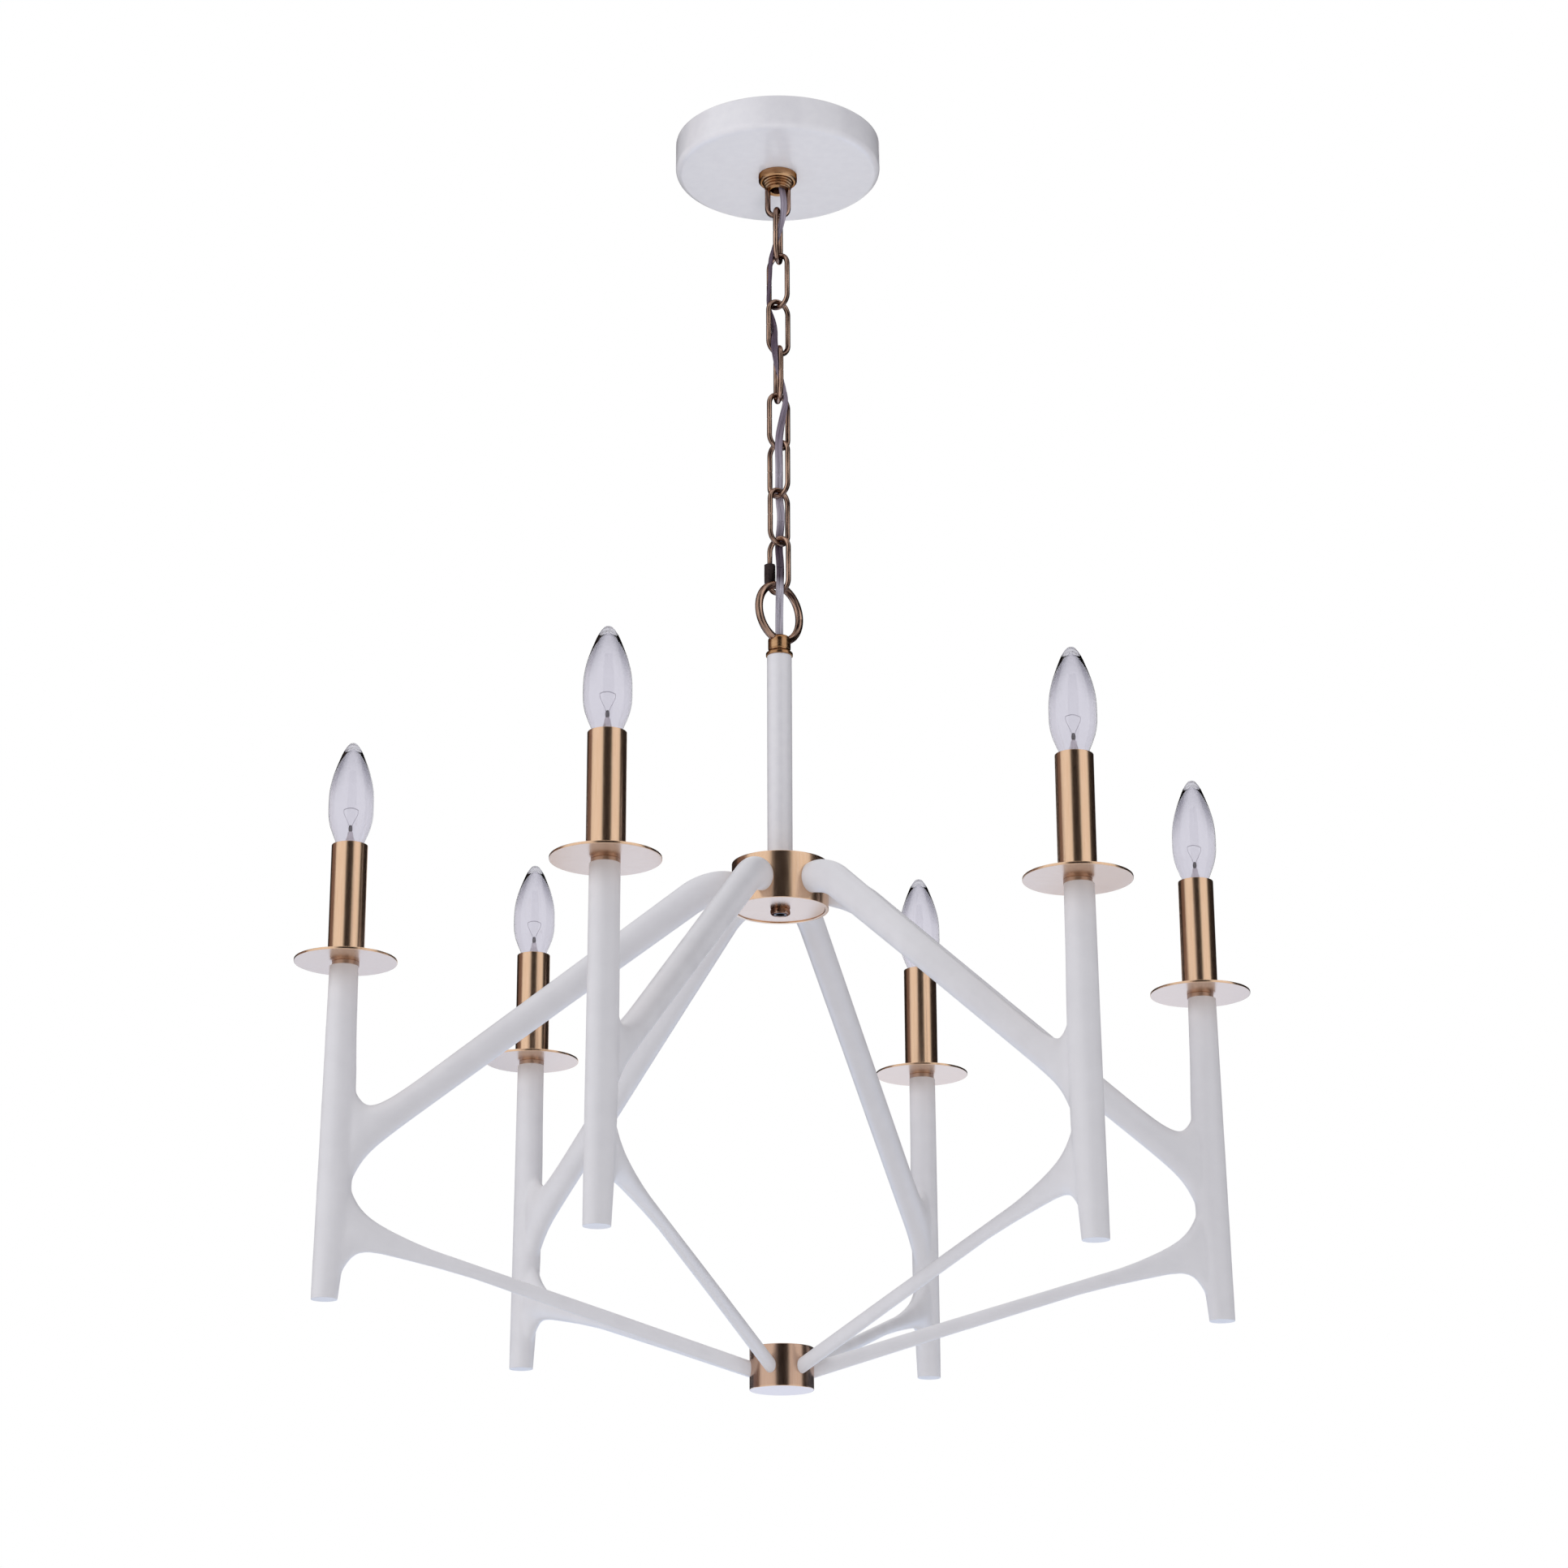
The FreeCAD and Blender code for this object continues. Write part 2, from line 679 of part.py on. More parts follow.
def upper_centreline(station):
    """Level at the hub, bent down through an arc that starts at the hub wall, then straight to the post."""
    slope = upper_slope()
    start = upper_hub_diameter / 2
    arc_length = upper_bend_radius * slope
    bend_end_x = start + upper_bend_radius * sin(slope)
    bend_end_z = upper_seat - upper_bend_radius * (1 - cos(slope))
    straight = (bend_end_z - below_disc(upper_joint_drop)) / sin(slope)
    distance = station * (arc_length + straight)
    if distance < 0:
        return start + distance, upper_seat, 0.0
    if distance < arc_length:
        angle = distance / upper_bend_radius
        drop = upper_bend_radius * (1 - cos(angle))
        return start + upper_bend_radius * sin(angle), upper_seat - drop, -angle
    beyond = distance - arc_length
    return bend_end_x + beyond * cos(slope), bend_end_z - beyond * sin(slope), -slope


def lower_centreline(station):
    """Straight from the middle of the lower hub's wall up to the post."""
    start = lower_hub_diameter / 2
    reach = candle_radius + lower_joint_offset - start
    rise = below_disc(lower_joint_drop) - lower_hub_middle
    return start + station * reach, lower_hub_middle + station * rise, lower_slope()


def arm():
    """One cast arm: post and branches in one, seated on both hubs, with its nipple and screw holes."""
    upper = (upper_bend_shares, upper_limb_shares, upper_flare_shares)
    lower = (lower_limb_shares, lower_flare_shares)
    limbs = branch(upper, upper_centreline, upper_depth, upper_depth)
    limbs += branch(lower, lower_centreline, lower_depth, lower_width)
    body = post().fuse(limbs)
    for hub_diameter, middle, height in (
        (upper_hub_diameter, upper_hub_middle, upper_hub_height),
        (lower_hub_diameter, lower_hub_middle, lower_hub_height),
    ):
        body = body.cut(cylinder(hub_diameter / 2 + arm_seat_gap, middle - height, middle + height))
    hole = pipe_hole(post_top - nipple_into_post - thread_clearance, post_top + overrun)
    body = body.cut(moved(hole, candle_radius, 0, 0))
    for seat in screw_seats():
        body = body.cut(screw_holes(seat)[0])
    return body


def candle(shape):
    """A candle piece copied to the top of every arm."""
    return ring_of(moved(shape, candle_radius, 0, 0))


def candle_collar():
    return tube(neck_diameter / 2, pipe_diameter / 2 + thread_clearance, post_top, disc_bottom)


def candle_nipple():
    return tube(
        pipe_diameter / 2, pipe_bore / 2, post_top - nipple_into_post, disc_top + nipple_into_socket
    )


def candle_disc():
    return tube(disc_diameter / 2, pipe_diameter / 2 + thread_clearance, disc_bottom, disc_top)


def candle_sleeve():
    return tube(sleeve_diameter / 2, sleeve_diameter / 2 - sleeve_wall, disc_top, sleeve_top)


def lamp_socket():
    """Moulded lampholder that stands on the disc, screwed to the nipple, with the cap's bore at its top."""
    outer = sleeve_diameter / 2 - sleeve_wall - socket_clearance
    top = bulb_bottom - slide_clearance
    floor = bulb_bottom - base_length - slide_clearance
    body = prism(socket_sides, outer, disc_top, top)
    body = body.cut(prism(socket_sides, corner_radius(socket_bore, socket_sides), floor, top + overrun))
    return body.cut(pipe_hole(disc_top - overrun, disc_top + nipple_into_socket + thread_clearance))


def rings_of(outline, sides):
    """Rings of corners for a turned piece of a few flat sides, from (radius, height) corners."""
    angles = [full_turn * k / sides for k in range(sides)]
    return [[vector(r * cos(a), r * sin(a), z) for a in angles] for r, z in outline]


def bulb_glass():
    """Thin envelope, open at its neck where the screw cap closes it."""
    outline = [
        (bulb_diameter / 2 * radius_share, bulb_bottom + bulb_length * height_share)
        for height_share, radius_share in bulb_shares
    ]
    inner = [(outline[0][0] - bulb_wall, bulb_bottom - overrun)]
    inner += [(r - bulb_wall, z) for r, z in outline[:-1]]
    inner.append((bulb_wall / 2, outline[-1][1] - 2 * bulb_wall))
    return skin(rings_of(outline, bulb_sides), False).cut(skin(rings_of(inner, bulb_sides), False))


def bulb_base():
    """Screw cap with its tapered insulator and end contact."""
    bottom = bulb_bottom - base_length
    shell_bottom = bottom + base_contact_height + base_taper_height
    return skin(rings_of([
        (base_contact_diameter / 2, bottom), (base_contact_diameter / 2, bottom + base_contact_height),
        (base_diameter / 2, shell_bottom), (base_diameter / 2, bulb_bottom),
    ], base_sides), False)


nodes = {
    "crossbar": crossbar(),
    "box_screws": box_screws(),
    "ground_screw": ground_screw(),
    "canopy_nipple": canopy_nipple(),
    "nipple_locknuts": nipple_locknuts(),
    "collar_loop": collar_loop(),
    "collar_ring": collar_ring(),
    "canopy": canopy(),
    "quick_link": quick_link(),
    "quick_link_nut": quick_link_nut(),
    "supply_cord": supply_cord(),
    "hanging_ring": hanging_ring(),
    "stem": stem(),
    "stem_pipe": stem_pipe(),
    "upper_hub": upper_hub(),
    "upper_hub_cover": upper_hub_cover(),
    "cover_nut": cover_nut(),
    "lower_hub": lower_hub(),
    "lower_hub_cap": lower_hub_cap(),
    "arm_screws": arm_screws(),
    "candle_collars": Part.makeCompound(candle(candle_collar())),
    "candle_nipples": Part.makeCompound(candle(candle_nipple())),
    "candle_discs": Part.makeCompound(candle(candle_disc())),
    "candle_sleeves": Part.makeCompound(candle(candle_sleeve())),
    "lamp_sockets": Part.makeCompound(candle(lamp_socket())),
}
for index in range(1, len(link_turns)):
    nodes["chain_link_%d" % index] = chain_link(index)
for index, copies in enumerate(zip(ring_of(arm()), candle(bulb_glass()), candle(bulb_base())), 1):
    for name, copy in zip(("arm", "bulb_glass", "bulb_base"), copies):
        nodes["%s_%d" % (name, index)] = copy

os.makedirs("parts", exist_ok=True)
for name, shape in nodes.items():
    shape.exportStep("parts/%s.step" % name)
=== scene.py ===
import math

import bmesh
import bpy
import numpy as np
from mathutils import Matrix, Vector


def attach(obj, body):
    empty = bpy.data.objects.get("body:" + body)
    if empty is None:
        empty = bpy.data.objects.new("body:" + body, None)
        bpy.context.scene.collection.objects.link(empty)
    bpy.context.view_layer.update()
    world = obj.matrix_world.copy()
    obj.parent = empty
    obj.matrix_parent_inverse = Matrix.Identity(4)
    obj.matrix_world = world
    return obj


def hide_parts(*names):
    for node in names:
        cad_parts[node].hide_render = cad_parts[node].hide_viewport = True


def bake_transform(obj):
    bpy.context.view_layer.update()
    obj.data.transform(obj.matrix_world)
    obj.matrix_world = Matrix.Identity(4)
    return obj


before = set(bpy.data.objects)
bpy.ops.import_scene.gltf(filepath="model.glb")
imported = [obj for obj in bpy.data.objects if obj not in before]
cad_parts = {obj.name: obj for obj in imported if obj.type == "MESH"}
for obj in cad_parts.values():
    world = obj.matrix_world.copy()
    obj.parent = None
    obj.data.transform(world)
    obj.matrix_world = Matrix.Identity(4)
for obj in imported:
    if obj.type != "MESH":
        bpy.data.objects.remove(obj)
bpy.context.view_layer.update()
mm = 0.001

# CAMERA. It stands low and well back and looks up at the chandelier, through a long lens. Its place,
# heading, tilt and lens follow from the even spacing of the six candles.
camera_place = Vector((-392.8, -2518.5, -1389.6)) * mm
camera_heading = math.radians(8.935)
camera_tilt = math.radians(18.5)
camera_roll = math.radians(-0.216)
lens = bpy.data.cameras.new("camera")
lens.sensor_width = 36.0
lens.lens = 82.25
lens.clip_start = 0.05
camera = bpy.data.objects.new("camera", lens)
camera.matrix_world = (
    Matrix.Translation(camera_place)
    @ Matrix.Rotation(-camera_heading, 4, "Z")
    @ Matrix.Rotation(math.pi / 2 + camera_tilt, 4, "X")
    @ Matrix.Rotation(camera_roll, 4, "Z")
)
bpy.context.collection.objects.link(camera)
bpy.context.scene.camera = camera
bpy.context.scene.view_settings.view_transform = "Standard"


# SUPPLY CORD. A flat lead of two silver strands in clear plastic comes out of the collar, weaves from link to
# link down the chain and goes into the knob of the hanging ring. It is made in stretches, from the middle of
# one link to the middle of the next, one joint of the chain in each.
cord_width = 6.0 * mm
cord_thickness = 2.9 * mm
cord_web = 1.1 * mm
cord_step = 0.9 * mm
cord_route = np.array([
    (0.0, 0.0, -4.0), (0.0, -0.3, -21.0), (3.2, -1.0, -38.0), (4.4, -7.0, -59.5),
    (0.0, -2.0, -80.5), (-6.4, -1.1, -99.5), (-6.6, -1.0, -119.5), (-8.2, 2.2, -140.0),
    (-3.0, -2.2, -159.5), (-4.9, -8.7, -180.0), (0.6, 0.2, -199.5), (6.2, -3.2, -220.0),
    (2.4, -0.6, -239.5), (-1.4, -7.8, -260.0), (0.4, -0.4, -279.5), (1.2, 8.0, -300.5),
    (2.4, 1.8, -320.0), (0.7, 7.8, -340.5), (1.2, 0.8, -360.5), (-0.9, -9.4, -380.0),
    (-0.3, -1.8, -400.0), (0.0, 0.3, -418.0), (0.0, 0.0, -432.0),
]) * mm
# Height down the route and the compass angle that the lead's flat side runs along there
cord_facings = np.array([
    (-432.0, -5.0), (-380.0, -5.5), (-340.0, -5.0), (-300.0, -8.5), (-260.0, -10.0), (-220.0, 63.0),
    (-180.0, 150.6), (-140.0, 75.0), (-100.0, 100.0), (-59.5, 32.0), (-4.0, 32.0),
])
# Heights of the bars that the chain rocks on
link_bars = np.array([-62.0, -101.9, -142.0, -182.1, -222.2, -262.3, -302.4, -342.5, -382.6]) * mm


def surface(name, grid, wrap_rows=False, wrap_columns=True, capped=False):
    """Mesh over a grid of points, or several (copies, rows, columns, 3): a quad between each four
    neighbours, joined round where a direction wraps, and a flat face over each open end if it is capped.
    In its UV map, u runs once round the columns and v along the rows, in metres."""
    grid = np.asarray(grid, float)
    grid = grid[None] if grid.ndim == 3 else grid
    copies, rows, columns = grid.shape[:3]
    across, along = np.meshgrid(
        np.arange(columns if wrap_columns else columns - 1), np.arange(rows if wrap_rows else rows - 1)
    )
    j, i = across.ravel(), along.ravel()
    k, m = (i + 1) % rows, (j + 1) % columns
    quads = np.c_[i * columns + j, i * columns + m, k * columns + m, k * columns + j]
    steps = np.linalg.norm(np.roll(grid[0, :, 0], -1, axis=0) - grid[0, :, 0], axis=1)
    length = np.concatenate([[0.0], np.cumsum(steps)])
    u = np.c_[j, j + 1, j + 1, j] / columns
    v = length[np.c_[i, i, i + 1, i + 1]]
    starts = np.arange(copies)[:, None, None] * rows * columns
    faces = (quads[None] + starts).reshape(-1, 4).tolist()
    caps = []
    if capped:
        ring = np.arange(columns)
        for start in starts.ravel():
            caps += [(start + ring[::-1]).tolist(), (start + (rows - 1) * columns + ring).tolist()]
    mesh = bpy.data.meshes.new(name)
    mesh.from_pydata(grid.reshape(-1, 3).tolist(), [], faces + caps)
    around = np.tile(np.stack([u, v], axis=-1).reshape(-1), copies)
    lies = np.zeros(len(mesh.loops) * 2)
    lies[:len(around)] = around
    mesh.uv_layers.new(name="around").data.foreach_set("uv", lies)
    mesh.polygons.foreach_set("use_smooth", [True] * len(faces) + [False] * len(caps))
    mesh.validate()
    piece = bpy.data.objects.new(name, mesh)
    bpy.context.collection.objects.link(piece)
    return piece


def swept(name, path, across, section, closed=False):
    """Tube whose section, points (x, y) counterclockwise or one such ring for each step, is carried along a
    path: x lies along the given across directions, made square to the path, and y along path x across."""
    path, section = np.asarray(path, float), np.asarray(section, float)
    ahead, behind = np.roll(path, -1, axis=0), np.roll(path, 1, axis=0)
    if not closed:
        ahead[-1], behind[0] = path[-1], path[0]
    heading = ahead - behind
    heading /= np.linalg.norm(heading, axis=1, keepdims=True)
    across = np.broadcast_to(across, path.shape)
    across = across - heading * np.sum(across * heading, axis=1, keepdims=True)
    across = across / np.linalg.norm(across, axis=1, keepdims=True)
    third = np.cross(heading, across)
    section = np.broadcast_to(section, (len(path),) + section.shape[-2:])
    grid = path[:, None] + across[:, None] * section[:, :, :1] + third[:, None] * section[:, :, 1:]
    return surface(name, grid, wrap_rows=closed, capped=not closed)


def finish(name, colour, roughness, metallic=0.0, **inputs):
    """Material with its Principled shader's plain values set; returns it with its nodes, links and shader."""
    material = bpy.data.materials.new(name)
    material.use_nodes = True
    shader = material.node_tree.nodes["Principled BSDF"]
    shader.inputs["Base Color"].default_value = (*colour, 1.0)
    shader.inputs["Roughness"].default_value = roughness
    shader.inputs["Metallic"].default_value = metallic
    for key, value in inputs.items():
        shader.inputs[key.replace("_", " ")].default_value = value
    material.diffuse_color = (*colour, 1.0)
    return material, material.node_tree.nodes, material.node_tree.links, shader


def noise_group(name, from_uv):
    """Node group of a stretched noise: Shade runs from 0 to 1 and Normal is its bump. It reads the object's
    coordinates, or the UV map with u bent into a circle, so that brush lines close round a turned piece."""
    group = bpy.data.node_groups.new(name, "ShaderNodeTree")
    for socket, kind, value in (
        ("Scale", "NodeSocketFloat", 100.0), ("Stretch", "NodeSocketVector", (1.0, 1.0, 1.0)),
        ("Depth", "NodeSocketFloat", 0.1),
    ):
        group.interface.new_socket(socket, in_out="INPUT", socket_type=kind).default_value = value
    group.interface.new_socket("Shade", in_out="OUTPUT", socket_type="NodeSocketFloat")
    group.interface.new_socket("Normal", in_out="OUTPUT", socket_type="NodeSocketVector")
    nodes, links = group.nodes, group.links
    inner, outer = nodes.new("NodeGroupInput"), nodes.new("NodeGroupOutput")
    if from_uv:
        split, joined = nodes.new("ShaderNodeSeparateXYZ"), nodes.new("ShaderNodeCombineXYZ")
        links.new(nodes.new("ShaderNodeUVMap").outputs["UV"], split.inputs["Vector"])
        for turn, axis in (("COSINE", "X"), ("SINE", "Y")):
            angle, bent = nodes.new("ShaderNodeMath"), nodes.new("ShaderNodeMath")
            angle.operation, bent.operation = "MULTIPLY", turn
            angle.inputs[1].default_value = 2 * math.pi
            links.new(split.outputs["X"], angle.inputs[0])
            links.new(angle.outputs[0], bent.inputs[0])
            links.new(bent.outputs[0], joined.inputs[axis])
        links.new(split.outputs["Y"], joined.inputs["Z"])
        place = joined.outputs["Vector"]
    else:
        place = nodes.new("ShaderNodeTexCoord").outputs["Object"]
    stretched = nodes.new("ShaderNodeVectorMath")
    stretched.operation = "MULTIPLY"
    noise, bump = nodes.new("ShaderNodeTexNoise"), nodes.new("ShaderNodeBump")
    noise.inputs["Detail"].default_value = 3.0
    bump.inputs["Distance"].default_value = 0.1 * mm
    links.new(place, stretched.inputs[0])
    links.new(inner.outputs["Stretch"], stretched.inputs[1])
    links.new(stretched.outputs["Vector"], noise.inputs["Vector"])
    links.new(inner.outputs["Scale"], noise.inputs["Scale"])
    links.new(inner.outputs["Depth"], bump.inputs["Strength"])
    links.new(noise.outputs["Fac"], bump.inputs["Height"])
    # The noise seldom leaves its middle third, which is spread over the whole of Shade
    low, high = 0.33, 0.67
    contrast = nodes.new("ShaderNodeMapRange")
    contrast.inputs["From Min"].default_value, contrast.inputs["From Max"].default_value = low, high
    links.new(noise.outputs["Fac"], contrast.inputs["Value"])
    links.new(contrast.outputs["Result"], outer.inputs["Shade"])
    links.new(bump.outputs["Normal"], outer.inputs["Normal"])
    return group


grain = noise_group("grain", from_uv=False)
brush_lines = noise_group("brush_lines", from_uv=True)
# Places of a Mix node's two colours among its inputs, and of their mixture among its outputs
mix_a, mix_b, mix_out = 6, 7, 2


def textured(material_parts, group, scale, depth, shades, roughnesses, stretch=(1.0, 1.0, 1.0)):
    """Puts a noise group into a material: its Shade mixes two colours and two roughnesses, its bump shows."""
    material, nodes, links, shader = material_parts
    noise = nodes.new("ShaderNodeGroup")
    noise.node_tree = group
    noise.inputs["Scale"].default_value = scale
    noise.inputs["Stretch"].default_value = stretch
    noise.inputs["Depth"].default_value = depth
    mix = nodes.new("ShaderNodeMix")
    mix.data_type = "RGBA"
    for socket, shade in zip((mix_a, mix_b), shades):
        mix.inputs[socket].default_value = (*shade, 1.0)
    spread = nodes.new("ShaderNodeMapRange")
    spread.inputs["To Min"].default_value, spread.inputs["To Max"].default_value = roughnesses
    links.new(noise.outputs["Shade"], mix.inputs["Factor"])
    links.new(noise.outputs["Shade"], spread.inputs["Value"])
    links.new(mix.outputs[mix_out], shader.inputs["Base Color"])
    links.new(spread.outputs["Result"], shader.inputs["Roughness"])
    links.new(noise.outputs["Normal"], shader.inputs["Normal"])
    return material


def shaded_up(material_parts, bottom, top, *stops):
    """Multiplies a material's colour by a run of shades up the object: each stop is the share of the way
    from the bottom height to the top one, and the shade there."""
    _, nodes, links, shader = material_parts
    split, height, ramp, shaded = [
        nodes.new("ShaderNode" + kind) for kind in ("SeparateXYZ", "MapRange", "ValToRGB", "Mix")
    ]
    height.inputs["From Min"].default_value, height.inputs["From Max"].default_value = bottom, top
    marks = ramp.color_ramp.elements
    marks.remove(marks[1])
    marks[0].position, marks[0].color = stops[0][0], (*stops[0][1], 1.0)
    for share, shade in stops[1:]:
        marks.new(share).color = (*shade, 1.0)
    shaded.data_type, shaded.blend_type = "RGBA", "MULTIPLY"
    shaded.inputs["Factor"].default_value = 1.0
    colour = shader.inputs["Base Color"]
    if colour.links:
        links.new(colour.links[0].from_socket, shaded.inputs[mix_a])
    else:
        shaded.inputs[mix_a].default_value = colour.default_value
    links.new(nodes.new("ShaderNodeTexCoord").outputs["Object"], split.inputs["Vector"])
    links.new(split.outputs["Z"], height.inputs["Value"])
    links.new(height.outputs["Result"], ramp.inputs["Fac"])
    links.new(ramp.outputs["Color"], shaded.inputs[mix_b])
    links.new(shaded.outputs[mix_out], colour)


def fitted(piece, material, body, slot, *nodes):
    """Gives a piece its finish, hangs it on its body and hides the CAD nodes that it stands for."""
    piece.data.materials.append(material)
    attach(piece, body)
    if nodes:
        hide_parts(*nodes)
    return piece


lead_parts = finish("clear_lead", (0.50, 0.46, 0.53), 0.25, IOR=1.5, Specular_IOR_Level=0.3)
clear_lead = textured(
    lead_parts, brush_lines, 5.0, 0.3,
    ((0.30, 0.28, 0.34), (0.78, 0.75, 0.84)), (0.18, 0.40), stretch=(1.0, 1.0, 8.0),
)
# Painted shade down the lead: the share of the way up it, and how light it shows there. Where it is dark it
# is a little redder.
lead_foot = -440.0 * mm
lead_painted_shade = [
    (0.05, 1.0), (0.13, 0.95), (0.155, 0.12), (0.23, 0.18), (0.27, 0.75), (0.35, 0.85), (0.42, 0.40),
    (0.52, 0.50), (0.60, 0.18), (0.80, 0.20), (0.85, 0.70), (0.90, 0.60),
]
shaded_up(lead_parts, lead_foot, 0.0, *[
    (share, (light, light ** 1.2, light ** 1.05)) for share, light in lead_painted_shade
])
curve = bpy.data.curves.new("cord_route", "CURVE")
curve.dimensions = "3D"
curve.resolution_u = 24
spline = curve.splines.new("NURBS")
spline.points.add(len(cord_route) - 1)
spline.points.foreach_set("co", np.c_[cord_route, np.ones(len(cord_route))].ravel())
spline.order_u = 3
spline.use_endpoint_u = True
route_line = bpy.data.objects.new("cord_route", curve)
bpy.context.collection.objects.link(route_line)
drawn = bpy.data.meshes.new_from_object(route_line)
cord_line = np.array([vertex.co for vertex in drawn.vertices])
bpy.data.objects.remove(route_line)
run = np.concatenate([[0.0], np.cumsum(np.linalg.norm(np.diff(cord_line, axis=0), axis=1))])
even = np.linspace(0.0, run[-1], int(run[-1] / cord_step))
cord_line = np.stack([np.interp(even, run, cord_line[:, axis]) for axis in range(3)], axis=1)
facing = np.radians(np.interp(cord_line[:, 2], cord_facings[:, 0] * mm, cord_facings[:, 1]))
cord_across = np.c_[np.cos(facing), np.sin(facing), np.zeros(len(facing))]
# The lead's section: a round lobe about each strand and a thin web between them
lobe = cord_thickness / 2
turn = np.linspace(0.0, 2 * math.pi, 36, endpoint=False)
lobe_x = cord_width / 2 * np.cos(turn)
lobe_y = np.sqrt(np.maximum(lobe ** 2 - (np.abs(lobe_x) - lobe) ** 2, 0.0))
lobe_y = np.where(np.abs(lobe_x) < lobe, np.maximum(lobe_y, cord_web / 2), lobe_y) * np.sign(np.sin(turn))
middles = (link_bars[1:] + link_bars[:-1]) / 2
cuts = [0] + [int(np.argmin(np.abs(cord_line[:, 2] - z))) for z in middles] + [len(cord_line) - 1]
for k, (first, last) in enumerate(zip(cuts, cuts[1:])):
    stretch = cord_line[first:last + 1]
    piece = swept("supply_cord_%d" % (k + 1), stretch, cord_across[first:last + 1], np.c_[lobe_x, lobe_y])
    piece.data.materials.append(clear_lead)
    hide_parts("supply_cord")
    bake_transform(piece)


# CROSSBAR AND FIXINGS. Zinc-plated steel strap with its two box screws, threaded pipe and locknuts, and the
# green earth screw, all hidden above the canopy. Their CAD solids stay and get their finishes here, and the
# screws in the hubs and the pipes in the candles are plated like them.
plated_steel = textured(
    finish("plated_steel", (0.62, 0.62, 0.64), 0.35, 1.0), grain, 260.0, 0.25,
    ((0.52, 0.52, 0.54), (0.72, 0.72, 0.73)), (0.28, 0.46),
)
green_paint = textured(
    finish("green_paint", (0.05, 0.28, 0.10), 0.4), grain, 400.0, 0.2,
    ((0.04, 0.25, 0.09), (0.07, 0.33, 0.13)), (0.34, 0.5),
)
hidden_steel = ["crossbar", "box_screws", "canopy_nipple", "nipple_locknuts", "arm_screws", "candle_nipples"]
for name in hidden_steel:
    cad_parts[name].material_slots[0].material = plated_steel
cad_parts["ground_screw"].material_slots[0].material = green_paint


# CANOPY. Pressed steel cup with a rolled lower edge, against the ceiling. It has the stem's white, glossier
# than the arms': the collar's brass shows in it as a faint warm reflection.
def eased(corners, radius, closed=True):
    """Outline with each corner rounded by a quadratic curve of that reach, with one more point on each side
    of it, so that shading stays flat on the long faces. An open outline keeps its two ends."""
    corners = np.asarray(corners, float)
    to_last = np.roll(corners, 1, axis=0) - corners
    to_next = np.roll(corners, -1, axis=0) - corners
    # The curve takes at most two fifths of an edge, and the further point lies just short of its middle
    reach = []
    for edge in (to_last, to_next):
        size = np.linalg.norm(edge, axis=1, keepdims=True)
        reach.append((edge / size, np.minimum(radius, 0.4 * size), np.minimum(1.7 * radius, 0.48 * size)))
    (back, cut_back, far_back), (on, cut_on, far_on) = reach
    start, end = corners + back * cut_back, corners + on * cut_on
    t = np.linspace(0.0, 1.0, 6)[None, :, None]
    arc = (1 - t) ** 2 * start[:, None] + 2 * t * (1 - t) * corners[:, None] + t ** 2 * end[:, None]
    rounded = np.concatenate([(corners + back * far_back)[:, None], arc, (corners + on * far_on)[:, None]], 1)
    if closed:
        return rounded.reshape(-1, 2)
    return np.concatenate([corners[:1], rounded[1:-1].reshape(-1, 2), corners[-1:]])


def circle(radius, steps=24):
    """Points (x, y) round a circle, counterclockwise."""
    angle = np.linspace(0.0, 2 * math.pi, steps, endpoint=False)
    return radius * np.c_[np.cos(angle), np.sin(angle)]


def turned(name, outline, closed=True, centres=((0.0, 0.0),), facets=96):
    """Outline of (radius, height) in millimetres, up along the outside, carried round an upright axis at
    each centre. An open outline starts and ends on the axis, where its points are merged."""
    outline = np.asarray(outline, float) * mm
    flat = outline[:, None, :1] * circle(1.0, facets)
    height = np.broadcast_to(outline[:, None, 1:], flat.shape[:2] + (1,))
    grid = np.concatenate([flat, height], axis=2)
    places = np.c_[np.asarray(centres, float) * mm, np.zeros(len(centres))]
    piece = surface(name, grid[None] + places[:, None, None], wrap_rows=closed)
    if outline[:, 0].min() < 0.01 * mm:
        merged(piece)
    return piece


def merged(piece):
    """Joins a mesh's coincident points, which closes it at its poles."""
    work = bmesh.new()
    work.from_mesh(piece.data)
    bmesh.ops.remove_doubles(work, verts=work.verts, dist=0.001 * mm)
    work.to_mesh(piece.data)
    work.free()


canopy_paint = textured(
    finish("canopy_paint", (0.85, 0.84, 0.875), 0.3, Coat_Weight=0.5, Coat_Roughness=0.12), grain,
    140.0, 0.06, ((0.835, 0.825, 0.865), (0.865, 0.855, 0.89)), (0.28, 0.38),
)
canopy_sheet, edge_radius, edge_centre = 1.2, 5.0, (76.0, -21.5)
corner = np.linspace(-math.pi / 2, 0.0, 14)
quarter = np.c_[np.cos(corner), np.sin(corner)]
# Out along the underside from the hole, round the rolled edge, up to the ceiling and back inside
canopy_outline = np.concatenate([
    eased([(12.3, -25.3), (12.3, -26.5), (60.0, -26.5)], 0.4, closed=False)[:-1],
    [(40.0, -26.5), (74.0, -26.5)], edge_centre + edge_radius * quarter,
    [(81.0, -19.0), (81.0, -1.0), (80.8, 0.0), (80.0, 0.0), (79.8, -1.0), (79.8, -19.0)],
    edge_centre + (edge_radius - canopy_sheet) * quarter[::-1], [(74.0, -25.3)],
])
fitted(turned("canopy_cup", canopy_outline, facets=160), canopy_paint, "canopy", "canopy_paint", "canopy")
